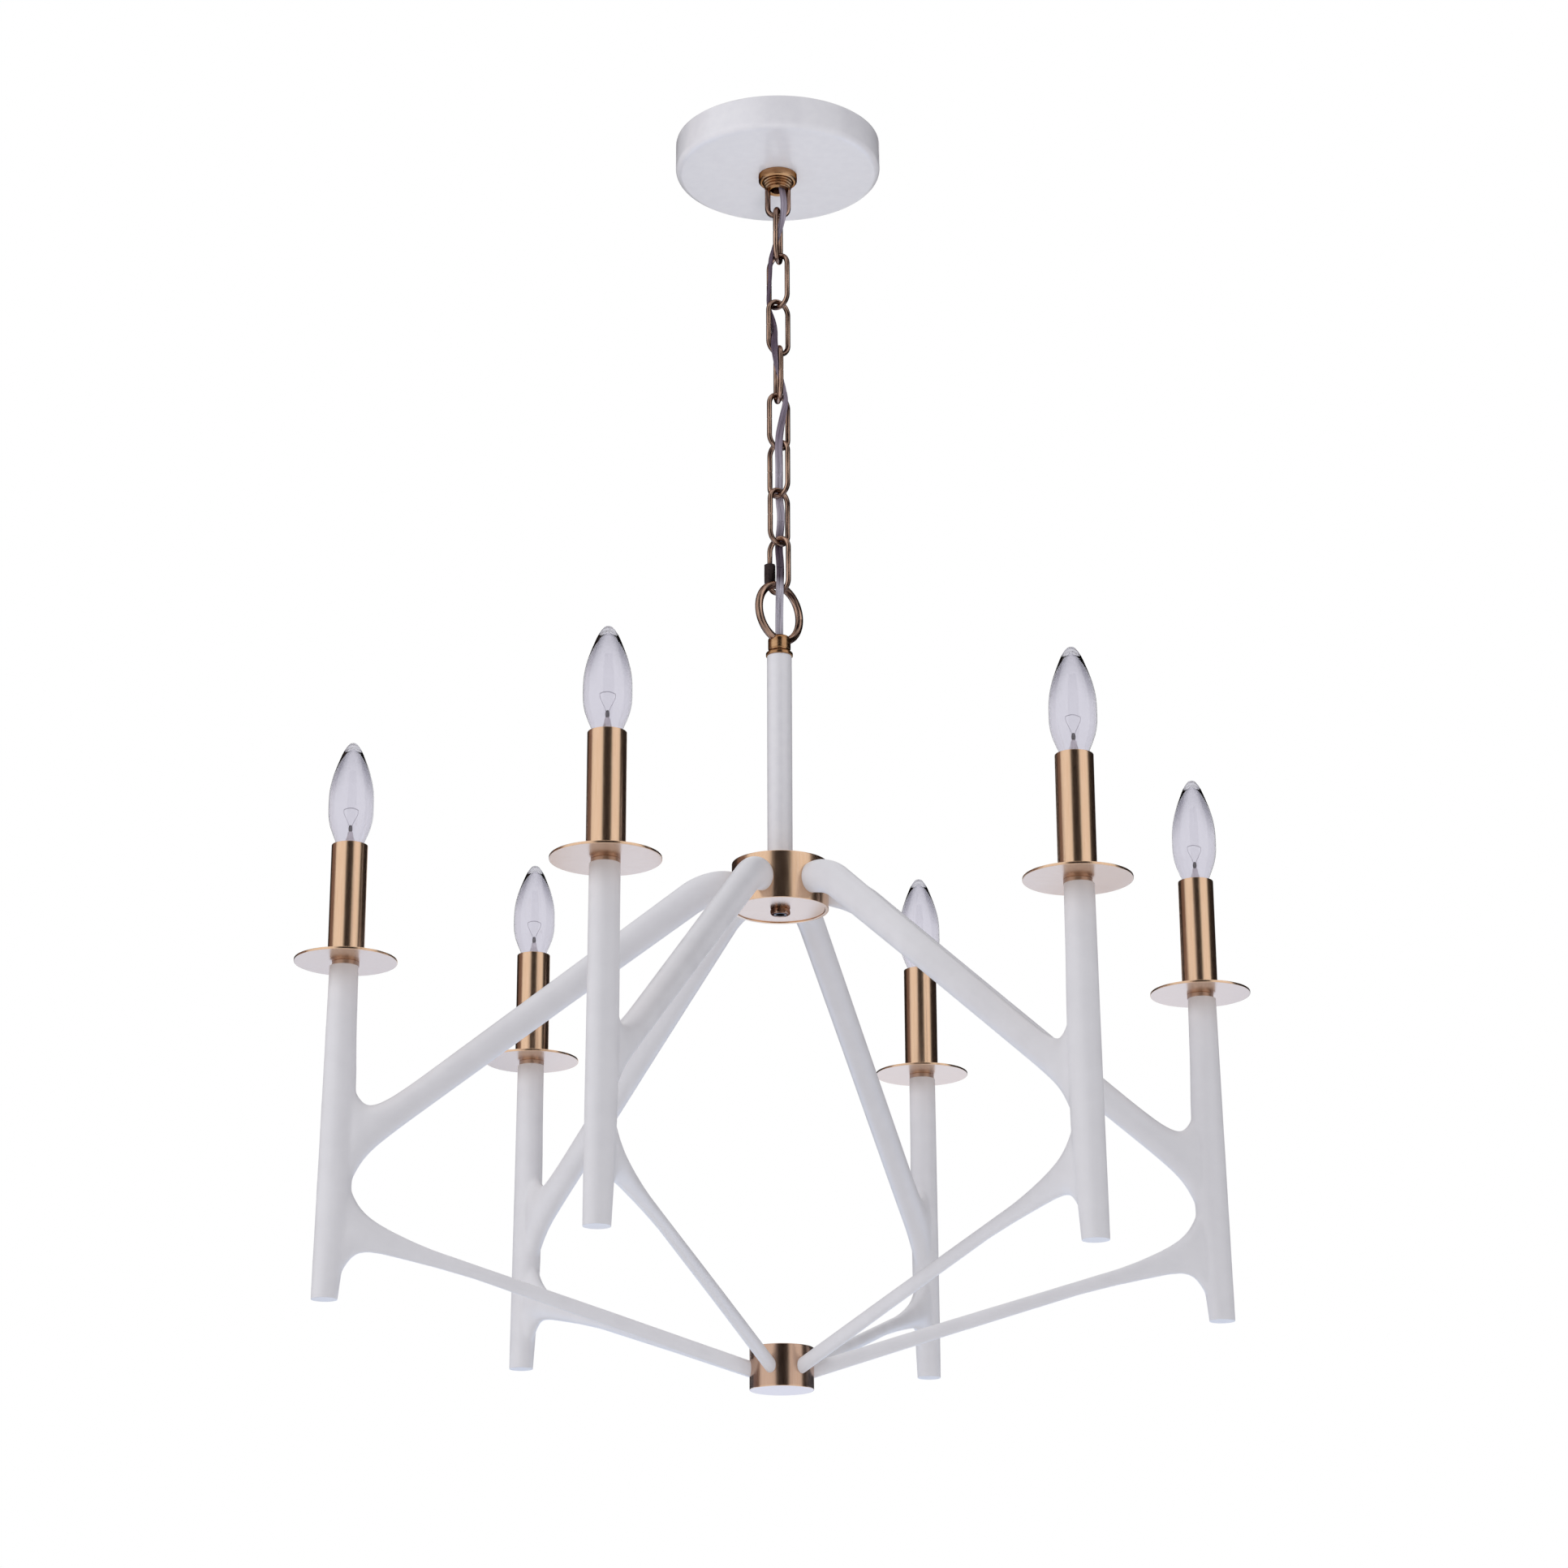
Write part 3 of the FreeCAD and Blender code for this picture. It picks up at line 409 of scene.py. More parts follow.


# SCREW COLLAR. Turned brass collar with three ribs, screwed on the pipe through the canopy, with a wire
# stirrup under it for the chain. Its ring nut holds the canopy up.
# The aged brass's noise runs from near black to light copper in long streaks along the wire: partly the
# chain's darker antique tone, partly painted dark sides and painted copper highlights
aged_brass = textured(
    finish("aged_brass", (0.33, 0.20, 0.15), 0.26, 1.0, Specular_Tint=(0.08, 0.03, 0.03, 1.0)), brush_lines,
    3.0, 0.1, ((0.025, 0.012, 0.012), (0.68, 0.45, 0.34)), (0.18, 0.32), stretch=(0.3, 0.3, 16.0),
)
turned_brass = textured(
    finish("turned_brass", (0.50, 0.28, 0.13), 0.26, 1.0, Specular_Tint=(0.08, 0.03, 0.03, 1.0)), brush_lines,
    4.0, 0.04, ((0.30, 0.14, 0.06), (0.68, 0.42, 0.23)), (0.20, 0.32), stretch=(0.15, 0.15, 30.0),
)
stirrup_turn = math.radians(-8.9)
stirrup_radius, stirrup_wire, stirrup_top, stirrup_bar = 8.0, 4.4, -38.0, -62.0


def upright(points, angle):
    """Points (distance, height) in millimetres set into the upright plane at a compass angle."""
    points = np.asarray(points, float) * mm
    return np.c_[points[:, 0] * math.cos(angle), points[:, 0] * math.sin(angle), points[:, 1]]


def plane_normal(angle):
    return (-math.sin(angle), math.cos(angle), 0.0)


def lathed(name, corners, easing, material, body, slot, node, closed=True, **how):
    """Turned piece from its outline's corners, eased, with its finish, body and CAD node. Its slot is not
    used.
    """
    piece = turned(name, eased(corners, easing, closed), closed, **how)
    return fitted(piece, material, body, slot, node)


lathed("screw_collar", [
    (5.8, -39.8), (9.8, -39.8), (9.8, -39.1), (9.2, -38.4), (10.7, -37.7), (10.7, -37.0), (10.0, -36.3),
    (11.4, -35.6), (11.4, -34.9), (10.7, -34.2), (12.0, -33.5), (12.0, -14.0), (4.95, -14.0),
    (4.95, -21.5), (5.8, -21.5),
], 0.3, turned_brass, "mount", "aged_brass", "collar_loop")
# The stirrup's bottom is squarer than the half circle that a roundness of 1 would give
roundness = 0.7
bend = np.linspace(math.pi, 2 * math.pi, 40)
bottom = np.c_[
    np.sign(np.cos(bend)) * np.abs(np.cos(bend)) ** roundness, 1 - np.abs(np.sin(bend)) ** roundness
] * stirrup_radius + (0.0, stirrup_bar)
drop = np.linspace(stirrup_top, stirrup_bar + stirrup_radius + 1, 12)
first_leg, last_leg = [np.c_[np.full(12, side * stirrup_radius), drop] for side in (-1, 1)]
stirrup_line = np.concatenate([first_leg, bottom, last_leg[::-1]])
stirrup = swept(
    "stirrup", upright(stirrup_line, stirrup_turn), plane_normal(stirrup_turn),
    circle(stirrup_wire / 2 * mm),
)
fitted(stirrup, aged_brass, "mount", "aged_brass", "collar_loop")
lathed("ring_nut", [
    (12.3, -33.1), (14.0, -33.1), (15.2, -31.9), (15.2, -26.5), (12.3, -26.5),
], 0.4, turned_brass, "canopy", "aged_brass", "collar_ring")


# CHAIN. Seven links of 4 mm brass-plated wire, each bent round and butted in the middle of one leg, where a
# fine groove shows. The eighth is a quick link, with threaded leg ends and a blackened hexagon sleeve nut.
link_turns = np.radians([69.1, -48.9, 27.1, 93.1, 31.1, -50.9, 35.1, -48.9])
link_wire, link_radius, bar_spacing = 4.0, 9.25, 44.4
# The seam's width, its depth as a share of the wire, and the fine steps across it
seam_width, seam_depth = 0.3, 0.22
seam_steps = np.array([-1.2, -0.7, -0.4, -0.2, 0.0, 0.2, 0.4, 0.7, 1.2])


def link_arc(bar, lower):
    """Half circle at a link's lower or upper end, (distance, height) in millimetres."""
    angle = np.linspace(math.pi, 2 * math.pi, 36) if lower else np.linspace(0.0, math.pi, 36)
    centre = bar + link_radius if lower else bar + bar_spacing - link_radius
    return np.c_[link_radius * np.cos(angle), centre + link_radius * np.sin(angle)]


def leg(side, heights):
    return np.c_[np.full(len(heights), side * link_radius), heights]


for k in range(7):
    bar = link_bars[k + 1] / mm
    low, high = bar + link_radius, bar + bar_spacing - link_radius
    seam = (low + high) / 2
    heights = np.concatenate([
        np.linspace(low + 2, seam - 2, 6), seam + seam_steps, np.linspace(seam + 2, high - 2, 6),
    ])
    line = np.concatenate([
        link_arc(bar, True), leg(1, np.linspace(low + 2, high - 2, 12)), link_arc(bar, False),
        leg(-1, heights[::-1]),
    ])
    groove = (line[:, 0] < 0) * np.exp(-((line[:, 1] - seam) / seam_width) ** 2)
    section = circle(link_wire / 2 * mm)[None] * (1 - seam_depth * groove[:, None, None])
    piece = swept(
        "chain_link_%d_wire" % (k + 1), upright(line, link_turns[k]), plane_normal(link_turns[k]), section,
        closed=True,
    )
    fitted(piece, aged_brass, "link_%d" % (k + 1), "aged_brass", "chain_link_%d" % (k + 1))

# The quick link's gap, and the thread above it, its depth as a share of the wire
gap_bottom, gap_top = -370.55, -365.55
thread_pitch, thread_length, thread_depth = 0.7, 14.0, 0.11
bar = link_bars[-1] / mm
low, high = bar + link_radius, bar + bar_spacing - link_radius
threaded = np.arange(gap_top + 0.3, gap_top + thread_length, 0.1)
line = np.concatenate([
    leg(-1, np.linspace(gap_bottom, low + 0.3, 8)), link_arc(bar, True),
    leg(1, np.linspace(low + 2, high - 2, 12)), link_arc(bar, False),
    leg(-1, np.linspace(high - 1, threaded[-1] + 0.5, 5)), leg(-1, threaded[::-1]),
    leg(-1, np.array([gap_top])),
])
on_thread = (line[:, 0] < 0) & (line[:, 1] > threaded[0]) & (line[:, 1] < threaded[-1])
ripple = on_thread * (0.5 + 0.5 * np.cos(2 * math.pi * line[:, 1] / thread_pitch))
section = circle(link_wire / 2 * mm)[None] * (1 - thread_depth * ripple[:, None, None])
piece = swept("quick_link_wire", upright(line, link_turns[7]), plane_normal(link_turns[7]), section)
fitted(piece, aged_brass, "quick_link", "aged_brass", "quick_link")


def hexagon_nut(name, across, bore, bottom, top, centre=(0.0, 0.0), angle=0.0):
    """Nut in millimetres: the radius is a hexagon's, cut by a cone at each end, and the bore is round. Each
    cone starts just inside the flats, at the face share, and rises by its steepness outwards."""
    facets, face_share, steepness = 96, 0.97, 0.5
    turn = np.linspace(0.0, 2 * math.pi, facets, endpoint=False)
    hexagon = across / 2 / np.cos((turn % (math.pi / 3)) - math.pi / 6)
    rise = np.linspace(0.0, 1.0, 5) * steepness * (hexagon.max() - across / 2)
    heights = np.concatenate([bottom + rise, [(bottom + top) / 2], top - rise[::-1]])
    cone = across / 2 * face_share + np.minimum(heights - bottom, top - heights) / steepness
    outer = np.minimum(hexagon[None], cone[:, None])
    radius = np.concatenate([outer, np.full((2, facets), bore / 2)])
    heights = np.concatenate([heights, [top, bottom]])
    grid = np.stack([
        centre[0] + radius * np.cos(turn + angle), centre[1] + radius * np.sin(turn + angle),
        np.broadcast_to(heights[:, None], radius.shape),
    ], axis=-1) * mm
    return surface(name, grid, wrap_rows=True)


dark_steel = textured(
    finish("dark_steel", (0.035, 0.022, 0.022), 0.35, 0.8), grain, 500.0, 0.3,
    ((0.022, 0.013, 0.014), (0.050, 0.034, 0.032)), (0.28, 0.45),
)
nut_centre = -link_radius * np.array([math.cos(link_turns[7]), math.sin(link_turns[7])])
piece = hexagon_nut(
    "quick_link_sleeve", 8.0, 4.5, gap_bottom - 2.5, gap_bottom + 13.0, nut_centre, link_turns[7]
)
fitted(piece, dark_steel, "quick_link_nut", "dark_steel", "quick_link_nut")


# HANGING RING. Cast brass ring, one piece with a knob and a flange that screw onto the stem's pipe. The
# quick link hangs it, and the lead goes down through the knob.
ring_turn = math.radians(37.1)
ring_radius, ring_wire, ring_centre = 22.0, 6.0, -399.3
stem_top = -434.8
ring_line = circle(ring_radius, 120) + (0.0, ring_centre)
piece = swept(
    "hanging_ring_wire", upright(ring_line, ring_turn), plane_normal(ring_turn),
    circle(ring_wire / 2 * mm, 32), closed=True,
)
fitted(piece, aged_brass, "fixture", "aged_brass", "hanging_ring")
lathed("ring_knob", [
    (3.3, stem_top), (10.25, stem_top), (10.25, -432.4), (9.0, -431.4), (8.1, -430.6), (8.1, -429.8),
    (8.6, -429.0), (8.6, -421.4), (7.4, -419.4), (5.8, -418.5), (3.3, -418.5),
], 0.5, turned_brass, "fixture", "aged_brass", "hanging_ring")


# STEM. White tube between the hanging ring and the upper hub, clamped by the pipe inside it.
stem_inside, stem_outside, hub_top = 8.0, 9.4, -599.8
lathed("stem_tube", [
    (stem_inside, hub_top), (stem_outside, hub_top), (stem_outside, stem_top), (stem_inside, stem_top),
], 0.3, canopy_paint, "fixture", "canopy_paint", "stem")


# HUBS. Two turned and brushed brass cups: the upper one closed from below by a cover with a small hexagon
# nut on the pipe's end, the lower one closed from above by a cap. Screws inside them hold the arms.
brass_parts = [finish(name, (0.77, 0.52, 0.35), 0.24, 1.0) for name in ("brushed_brass", "painted_shade_brass")]
brushed_brass, painted_shade_brass = [
    textured(
        parts, brush_lines, 24.0, 0.015,
        ((0.75, 0.50, 0.33), (0.79, 0.55, 0.38)), (0.225, 0.255), stretch=(1.0, 1.0, 3.0),
    ) for parts in brass_parts
]
hub_wall = 2.6
upper_radius, upper_bottom = 36.0, -635.8
lower_radius, lower_bottom, lower_top = 23.0, -990.9, -960.9
upper_inside, lower_inside = upper_radius - hub_wall, lower_radius - hub_wall
lathed("upper_hub_cup", [
    (upper_inside, upper_bottom), (upper_radius, upper_bottom), (upper_radius, hub_top), (5.0, hub_top),
    (5.0, hub_top - hub_wall), (upper_inside, hub_top - hub_wall),
], 0.6, brushed_brass, "fixture", "brushed_brass", "upper_hub", facets=128)
lathed("hub_cover", [
    (4.95, -635.0), (33.2, -635.0), (33.2, -633.0), (4.95, -633.0),
], 0.4, brushed_brass, "fixture", "brushed_brass", "upper_hub_cover", facets=128)
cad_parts["stem_pipe"].material_slots[0].material = dark_steel
piece = hexagon_nut("hub_nut", 13.0, 9.9, -639.0, -635.0)
fitted(piece, aged_brass, "fixture", "brushed_brass", "cover_nut")
lathed("lower_hub_cup", [
    (0.0, lower_bottom), (lower_radius, lower_bottom), (lower_radius, lower_top), (lower_inside, lower_top),
    (lower_inside, lower_bottom + hub_wall), (0.0, lower_bottom + hub_wall),
], 0.5, painted_shade_brass, "fixture", "brushed_brass", "lower_hub", closed=False)
# Painted shade: the lower hub's wall is darker than its flat underside, for the dark things it reflects
unshaded, wall_from, painted_wall_shade = (1.0, 1.0, 1.0), 0.04, (0.74, 0.73, 0.80)
shaded_up(brass_parts[1], lower_bottom * mm, lower_top * mm, (0.0, unshaded), (wall_from, painted_wall_shade))
lathed("hub_cap", [
    (0.0, -963.7), (20.2, -963.7), (20.2, -961.7), (0.0, -961.7),
], 0.4, brushed_brass, "fixture", "brushed_brass", "lower_hub_cap", closed=False)


# ARMS. Six castings in satin white, each an upright post with two branches that flow into it: the thick one
# comes down from the upper hub, the thin one comes up from the lower hub. Both ends are screwed on.
candle_radius, disc_bottom, post_top, post_height = 318.5, -688.3, -691.5, 242.3
# Down the post: share of its height, then depth and width in millimetres
post_table = np.array([
    (-0.012, 21.1, 21.0), (0.20, 22.35, 21.0), (0.33, 23.8, 21.0), (0.52, 24.6, 21.0), (0.68, 24.7, 20.8),
    (0.84, 22.5, 20.0), (1.012, 18.8, 18.4),
])
# Out along each branch: share of its line, then millimetres above and below the line, lean and width
upper_table = np.array([
    (-0.006, 11.3, 11.3, 0.0, 16.5), (0.020, 12.5, 12.5, 0.0, 19.5), (0.073, 12.3, 12.5, 0.0, 19.5),
    (0.100, 12.0, 12.3, 0.0, 19.5), (0.435, 10.8, 11.3, 0.0, 19.0), (0.770, 9.8, 11.0, 0.3, 19.0),
    (0.808, 10.0, 11.0, -1.0, 19.0), (0.845, 10.5, 11.0, -2.5, 19.0), (0.879, 12.0, 11.3, -4.8, 19.0),
    (0.907, 14.8, 12.0, -8.0, 19.0), (0.928, 19.8, 14.3, -12.8, 19.0), (0.942, 27.3, 19.0, -18.3, 18.5),
    (0.952, 37.8, 25.0, -24.8, 17.0), (0.964, 49.8, 30.5, -31.3, 12.5),
])
lower_table = np.array([
    (-0.014, 5.8, 5.8, 0.0, 8.7), (0.32, 5.4, 5.4, 0.5, 8.7), (0.657, 4.5, 5.7, 1.6, 8.7),
    (0.704, 4.4, 6.5, 2.2, 9.0), (0.750, 4.2, 7.3, 2.7, 9.6), (0.797, 5.0, 8.6, 3.0, 10.4),
    (0.843, 6.5, 9.9, 3.3, 11.7), (0.882, 8.5, 11.1, 3.8, 13.1), (0.913, 11.4, 13.1, 4.3, 14.4),
    (0.937, 15.9, 16.6, 5.1, 15.2), (0.954, 22.0, 23.8, 6.4, 15.7), (0.966, 29.9, 33.7, 9.0, 14.8),
    (0.981, 38.8, 44.6, 12.4, 12.2),
])
# The upper branch's slope, bend and seat on the hub, the heights where the two branches' lines reach the
# post, and the lower one's seat and reach
upper_slope, upper_bend, upper_seat = math.radians(38.5), 51.5, -618.8
upper_foot, lower_head = disc_bottom - 142.9, disc_bottom - 188.9
lower_seat, lower_end = (lower_bottom + lower_top) / 2, candle_radius + 3.5


def limb_grid(tops, bottoms, widths):
    """Ovals through pairs of top and bottom points (distance, height), with the given widths across."""
    angle = np.linspace(0.0, 2 * math.pi, 40, endpoint=False)
    middle, half = (tops + bottoms) / 2, (tops - bottoms) / 2
    plane = middle[:, None] + half[:, None] * np.cos(angle)[None, :, None]
    across = widths[:, None] / 2 * np.sin(angle)[None]
    return np.stack([plane[..., 0], across, plane[..., 1]], axis=-1) * mm


def softened(table, count, passes):
    """Table's columns read at even steps of its first one, then averaged with their neighbours."""
    steps = np.linspace(table[0, 0], table[-1, 0], count)
    columns = np.stack([np.interp(steps, table[:, 0], column) for column in table.T], axis=1)
    for _ in range(passes):
        columns[1:-1] = (columns[:-2] + 2 * columns[1:-1] + columns[2:]) / 4
    return columns


def branch_grid(table, line):
    """Limb whose ovals stand square to a line, with the table's rise, fall and lean along it."""
    columns = softened(table, 260, 8)
    x, z, heading = line(columns[:, 0])
    along, up = np.c_[np.cos(heading), np.sin(heading)], np.c_[-np.sin(heading), np.cos(heading)]
    middle = np.c_[x, z]
    tops = middle + up * columns[:, 1:2] + along * columns[:, 3:4]
    bottoms = middle - up * columns[:, 2:3] - along * columns[:, 3:4]
    return limb_grid(tops, bottoms, columns[:, 4])


def upper_line(share):
    """Level out of the hub, then down round an arc, then straight to the post."""
    curved = upper_bend * upper_slope
    bend_z = upper_seat - upper_bend * (1 - math.cos(upper_slope))
    distance = share * (curved + (bend_z - upper_foot) / math.sin(upper_slope))
    angle = np.clip(distance, 0.0, curved) / upper_bend
    beyond = np.maximum(distance - curved, 0.0)
    x = upper_radius + np.minimum(distance, 0.0) + upper_bend * np.sin(angle) + beyond * math.cos(upper_slope)
    z = upper_seat - upper_bend * (1 - np.cos(angle)) - beyond * math.sin(upper_slope)
    return x, z, -angle


def lower_line(share):
    """Straight from the middle of the lower hub's wall up to the post."""
    reach, rise = lower_end - lower_radius, lower_head - lower_seat
    heading = np.full(len(share), math.atan2(rise, reach))
    return lower_radius + share * reach, lower_seat + share * rise, heading


# The post's outer side stands off the candle's axis and leans out on the way down
post_stand_off, post_lean = 11.7, 4.3
post = softened(post_table, 120, 8)
post_z = post_top - post_height * post[:, 0]
post_outer = candle_radius + post_stand_off + post_lean * post[:, 0]
inner_side, outer_side = [np.c_[x, post_z] for x in (post_outer - post[:, 1], post_outer)]
grids = [
    limb_grid(inner_side, outer_side, post[:, 2]),
    branch_grid(upper_table, upper_line), branch_grid(lower_table, lower_line),
]
limbs = [surface("limb", grid, capped=True) for grid in grids]
# One closed skin over the three limbs, smoothed so that they flow into each other
work = bmesh.new()
for limb in limbs:
    work.from_mesh(limb.data)
    bpy.data.objects.remove(limb)
bmesh.ops.recalc_face_normals(work, faces=work.faces)
casting = bpy.data.meshes.new("casting")
work.to_mesh(casting)
work.free()
blank = bpy.data.objects.new("casting", casting)
bpy.context.collection.objects.link(blank)
remesh = blank.modifiers.new("one_skin", "REMESH")
remesh.mode = "VOXEL"
remesh.voxel_size = 1.0 * mm
smoothing = blank.modifiers.new("flow", "SMOOTH")
smoothing.factor, smoothing.iterations = 0.5, 24
bpy.context.view_layer.update()
skin = bpy.data.meshes.new_from_object(blank.evaluated_get(bpy.context.evaluated_depsgraph_get()))
bpy.data.objects.remove(blank)
work = bmesh.new()
work.from_mesh(skin)
# The post's ends are cut flat and closed, and nothing nearer the middle than this is cut away
post_from = 0.28
for height, side in ((post_top, 1), (post_top - post_height, -1)):
    whole = work.verts[:] + work.edges[:] + work.faces[:]
    bmesh.ops.bisect_plane(
        work, geom=whole, plane_co=(0.0, 0.0, height * mm), plane_no=(0.0, 0.0, side), clear_outer=False
    )
    gone = [v for v in work.verts if side * (v.co.z - height * mm) > 1e-7 and v.co.x > post_from]
    bmesh.ops.delete(work, geom=gone, context="VERTS")
    rim = [e for e in work.edges if e.is_boundary]
    bmesh.ops.holes_fill(work, edges=rim, sides=0)
bmesh.ops.recalc_face_normals(work, faces=work.faces)
work.to_mesh(skin)
work.free()
skin.polygons.foreach_set("use_smooth", [len(face.vertices) < 5 for face in skin.polygons])
arm_paint = textured(
    finish("arm_paint", (0.85, 0.84, 0.87), 0.42, Coat_Weight=0.06, Coat_Roughness=0.3), grain,
    55.0, 0.1, ((0.83, 0.82, 0.85), (0.86, 0.85, 0.88)), (0.38, 0.50),
)
for k in range(6):
    mesh = skin.copy()
    mesh.transform(Matrix.Rotation(math.radians(60 * k), 4, "Z"))
    mesh.materials.clear()
    piece = bpy.data.objects.new("arm_%d_casting" % (k + 1), mesh)
    bpy.context.collection.objects.link(piece)
    fitted(piece, arm_paint, "fixture", "white_paint", "arm_%d" % (k + 1))


# CANDLES. On each post a short brass neck carries a flat disc with a brushed brass sleeve on it, which
# hides a moulded lampholder. One threaded pipe runs through them into the post.
candle_centres = circle(candle_radius, 6)
disc_top, sleeve_top = -686.5, -599.8
# Painted shade: the necks' brass is the discs' brass made darker and pinker, as they stand under the discs;
# it is rougher too
shaded_satin_brass = textured(
    finish("shaded_satin_brass", (0.55, 0.41, 0.34), 0.45, 1.0), grain, 300.0, 0.1,
    ((0.50, 0.37, 0.30), (0.60, 0.45, 0.38)), (0.42, 0.50),
)
lathed("candle_necks", [
    (5.0, post_top), (9.85, post_top), (9.85, disc_bottom), (5.0, disc_bottom),
], 0.3, shaded_satin_brass, "fixture", "brushed_brass", "candle_collars", centres=candle_centres, facets=64)
lathed("candle_dishes", [
    (5.0, disc_bottom), (37.35, disc_bottom), (37.35, disc_top), (5.0, disc_top),
], 0.45, brushed_brass, "fixture", "brushed_brass", "candle_discs", centres=candle_centres, facets=128)
lathed("candle_tubes", [
    (12.35, disc_top), (13.25, disc_top), (13.25, sleeve_top), (12.35, sleeve_top),
], 0.3, brushed_brass, "fixture", "brushed_brass", "candle_sleeves", centres=candle_centres, facets=72)
holder_plastic = textured(
    finish("holder_plastic", (0.80, 0.78, 0.70), 0.5), grain, 300.0, 0.2,
    ((0.76, 0.74, 0.66), (0.84, 0.82, 0.74)), (0.45, 0.6),
)
lathed("lampholders", [
    (5.0, disc_top), (11.9, disc_top), (11.9, -604.6), (6.65, -604.6), (6.65, -621.6), (5.0, -621.6),
], 0.4, holder_plastic, "fixture", "socket_moulding", "lamp_sockets", centres=candle_centres, facets=64)


# BULBS. Clear torpedo bulbs with small screw caps. A glass stem inside each carries two lead wires and a
# fine coiled filament between them.
def through(points, count):
    """Smooth line through points: cubic pieces whose slopes come from each point's neighbours."""
    points = np.asarray(points, float)
    slopes = np.gradient(points, axis=0)
    t = np.linspace(0.0, len(points) - 1.0, count)
    k = np.minimum(t.astype(int), len(points) - 2)
    s = (t - k)[:, None]
    return (
        (2 * s ** 3 - 3 * s ** 2 + 1) * points[k] + (s ** 3 - 2 * s ** 2 + s) * slopes[k]
        + (3 * s ** 2 - 2 * s ** 3) * points[k + 1] + (s ** 3 - s ** 2) * slopes[k + 1]
    )


# Heights above the disc's underside, and the glass's wall, which thickens by a cubic towards the tip
glass_foot, thickens_from, glass_tip = 84.0, 138.0, 167.0
glass_wall, tip_wall = 0.6, 3.6
glass_outer = through([
    (7.2, glass_foot), (8.9, 87.0), (10.8, 92.0), (13.2, 98.0), (15.2, 104.0), (16.4, 111.0), (16.6, 119.0),
    (16.4, 127.0), (15.5, 134.0), (13.9, 141.0), (11.8, 147.5), (9.6, 153.5), (7.6, 158.5), (5.8, 162.0),
    (4.0, 164.6), (2.2, 166.4), (0.0, glass_tip),
], 90) + (0.0, disc_bottom)
along = np.gradient(glass_outer, axis=0)
along /= np.linalg.norm(along, axis=1, keepdims=True)
climb = (glass_outer[:, 1:] - disc_bottom - thickens_from) / (glass_tip - thickens_from)
wall = glass_wall + (tip_wall - glass_wall) * np.clip(climb, 0, 1) ** 3
glass_inner = glass_outer - wall * np.c_[along[:, 1], -along[:, 0]]
glass_inner[:, 0] = np.maximum(glass_inner[:, 0], 0.0)
glass_inner[-1] = (0.0, glass_outer[-1, 1] - tip_wall)
glass_outline = np.concatenate([glass_outer, glass_inner[::-1]])
stem_glass_outline = through([
    (5.2, 84.2), (4.8, 88.0), (3.9, 91.0), (3.0, 93.6), (2.3, 96.0), (1.9, 98.4), (1.0, 99.5), (0.0, 99.8),
], 40) + (0.0, disc_bottom)
stem_glass_outline = np.concatenate([[(0.0, stem_glass_outline[0, 1])], stem_glass_outline])
bead_outline = through([
    (0.0, 99.0), (1.1, 99.6), (1.5, 101.4), (1.1, 103.8), (0.0, 104.6),
], 24) + (0.0, disc_bottom)
# How much taller each glass stands than the drawn one, in millimetres
glass_extra = (2.4, 0.0, -2.4, 1.0, -2.5, 0.0)
glass_tint, painted_tip_shade = (0.80, 0.79, 0.84), (0.52, 0.52, 0.55)
glass_parts = finish("clear_glass", glass_tint, 0.03, Transmission_Weight=1.0, IOR=1.5)
# Painted shade: the glass's colour darkens towards its tip
shaded_up(
    glass_parts, (disc_bottom + 124) * mm, (disc_bottom + 150) * mm, (0.0, unshaded), (1.0, painted_tip_shade),
)
# Painted shade: only the glass's edges take that shade, where light has the longest way through the wall
edge_from, edge_full = 0.08, 0.42
clear_glass, nodes, links, shader = glass_parts
edge, reach, rim = [nodes.new("ShaderNode" + kind) for kind in ("LayerWeight", "MapRange", "Mix")]
reach.inputs["From Min"].default_value, reach.inputs["From Max"].default_value = edge_from, edge_full
rim.data_type = "RGBA"
rim.inputs[mix_a].default_value = (*glass_tint, 1.0)
links.new(edge.outputs["Facing"], reach.inputs["Value"])
links.new(reach.outputs["Result"], rim.inputs["Factor"])
links.new(shader.inputs["Base Color"].links[0].from_socket, rim.inputs[mix_b])
links.new(rim.outputs[mix_out], shader.inputs["Base Color"])
pressed_glass = finish("pressed_glass", (0.90, 0.84, 0.86), 0.10, Transmission_Weight=0.75, IOR=1.5)[0]
dark_bead = textured(
    finish("dark_bead", (0.20, 0.19, 0.19), 0.4, 1.0), grain, 900.0, 0.1,
    ((0.15, 0.14, 0.14), (0.26, 0.25, 0.25)), (0.32, 0.48),
)
lead_wire = textured(
    finish("lead_wire", (0.60, 0.58, 0.62), 0.4, 1.0), grain, 900.0, 0.1,
    ((0.52, 0.50, 0.54), (0.68, 0.66, 0.70)), (0.32, 0.48),
)
cap_metal = textured(
    finish("cap_metal", (0.70, 0.69, 0.67), 0.25, 1.0), brush_lines, 30.0, 0.15,
    ((0.62, 0.61, 0.59), (0.76, 0.75, 0.73)), (0.20, 0.36), stretch=(1.0, 1.0, 30.0),
)
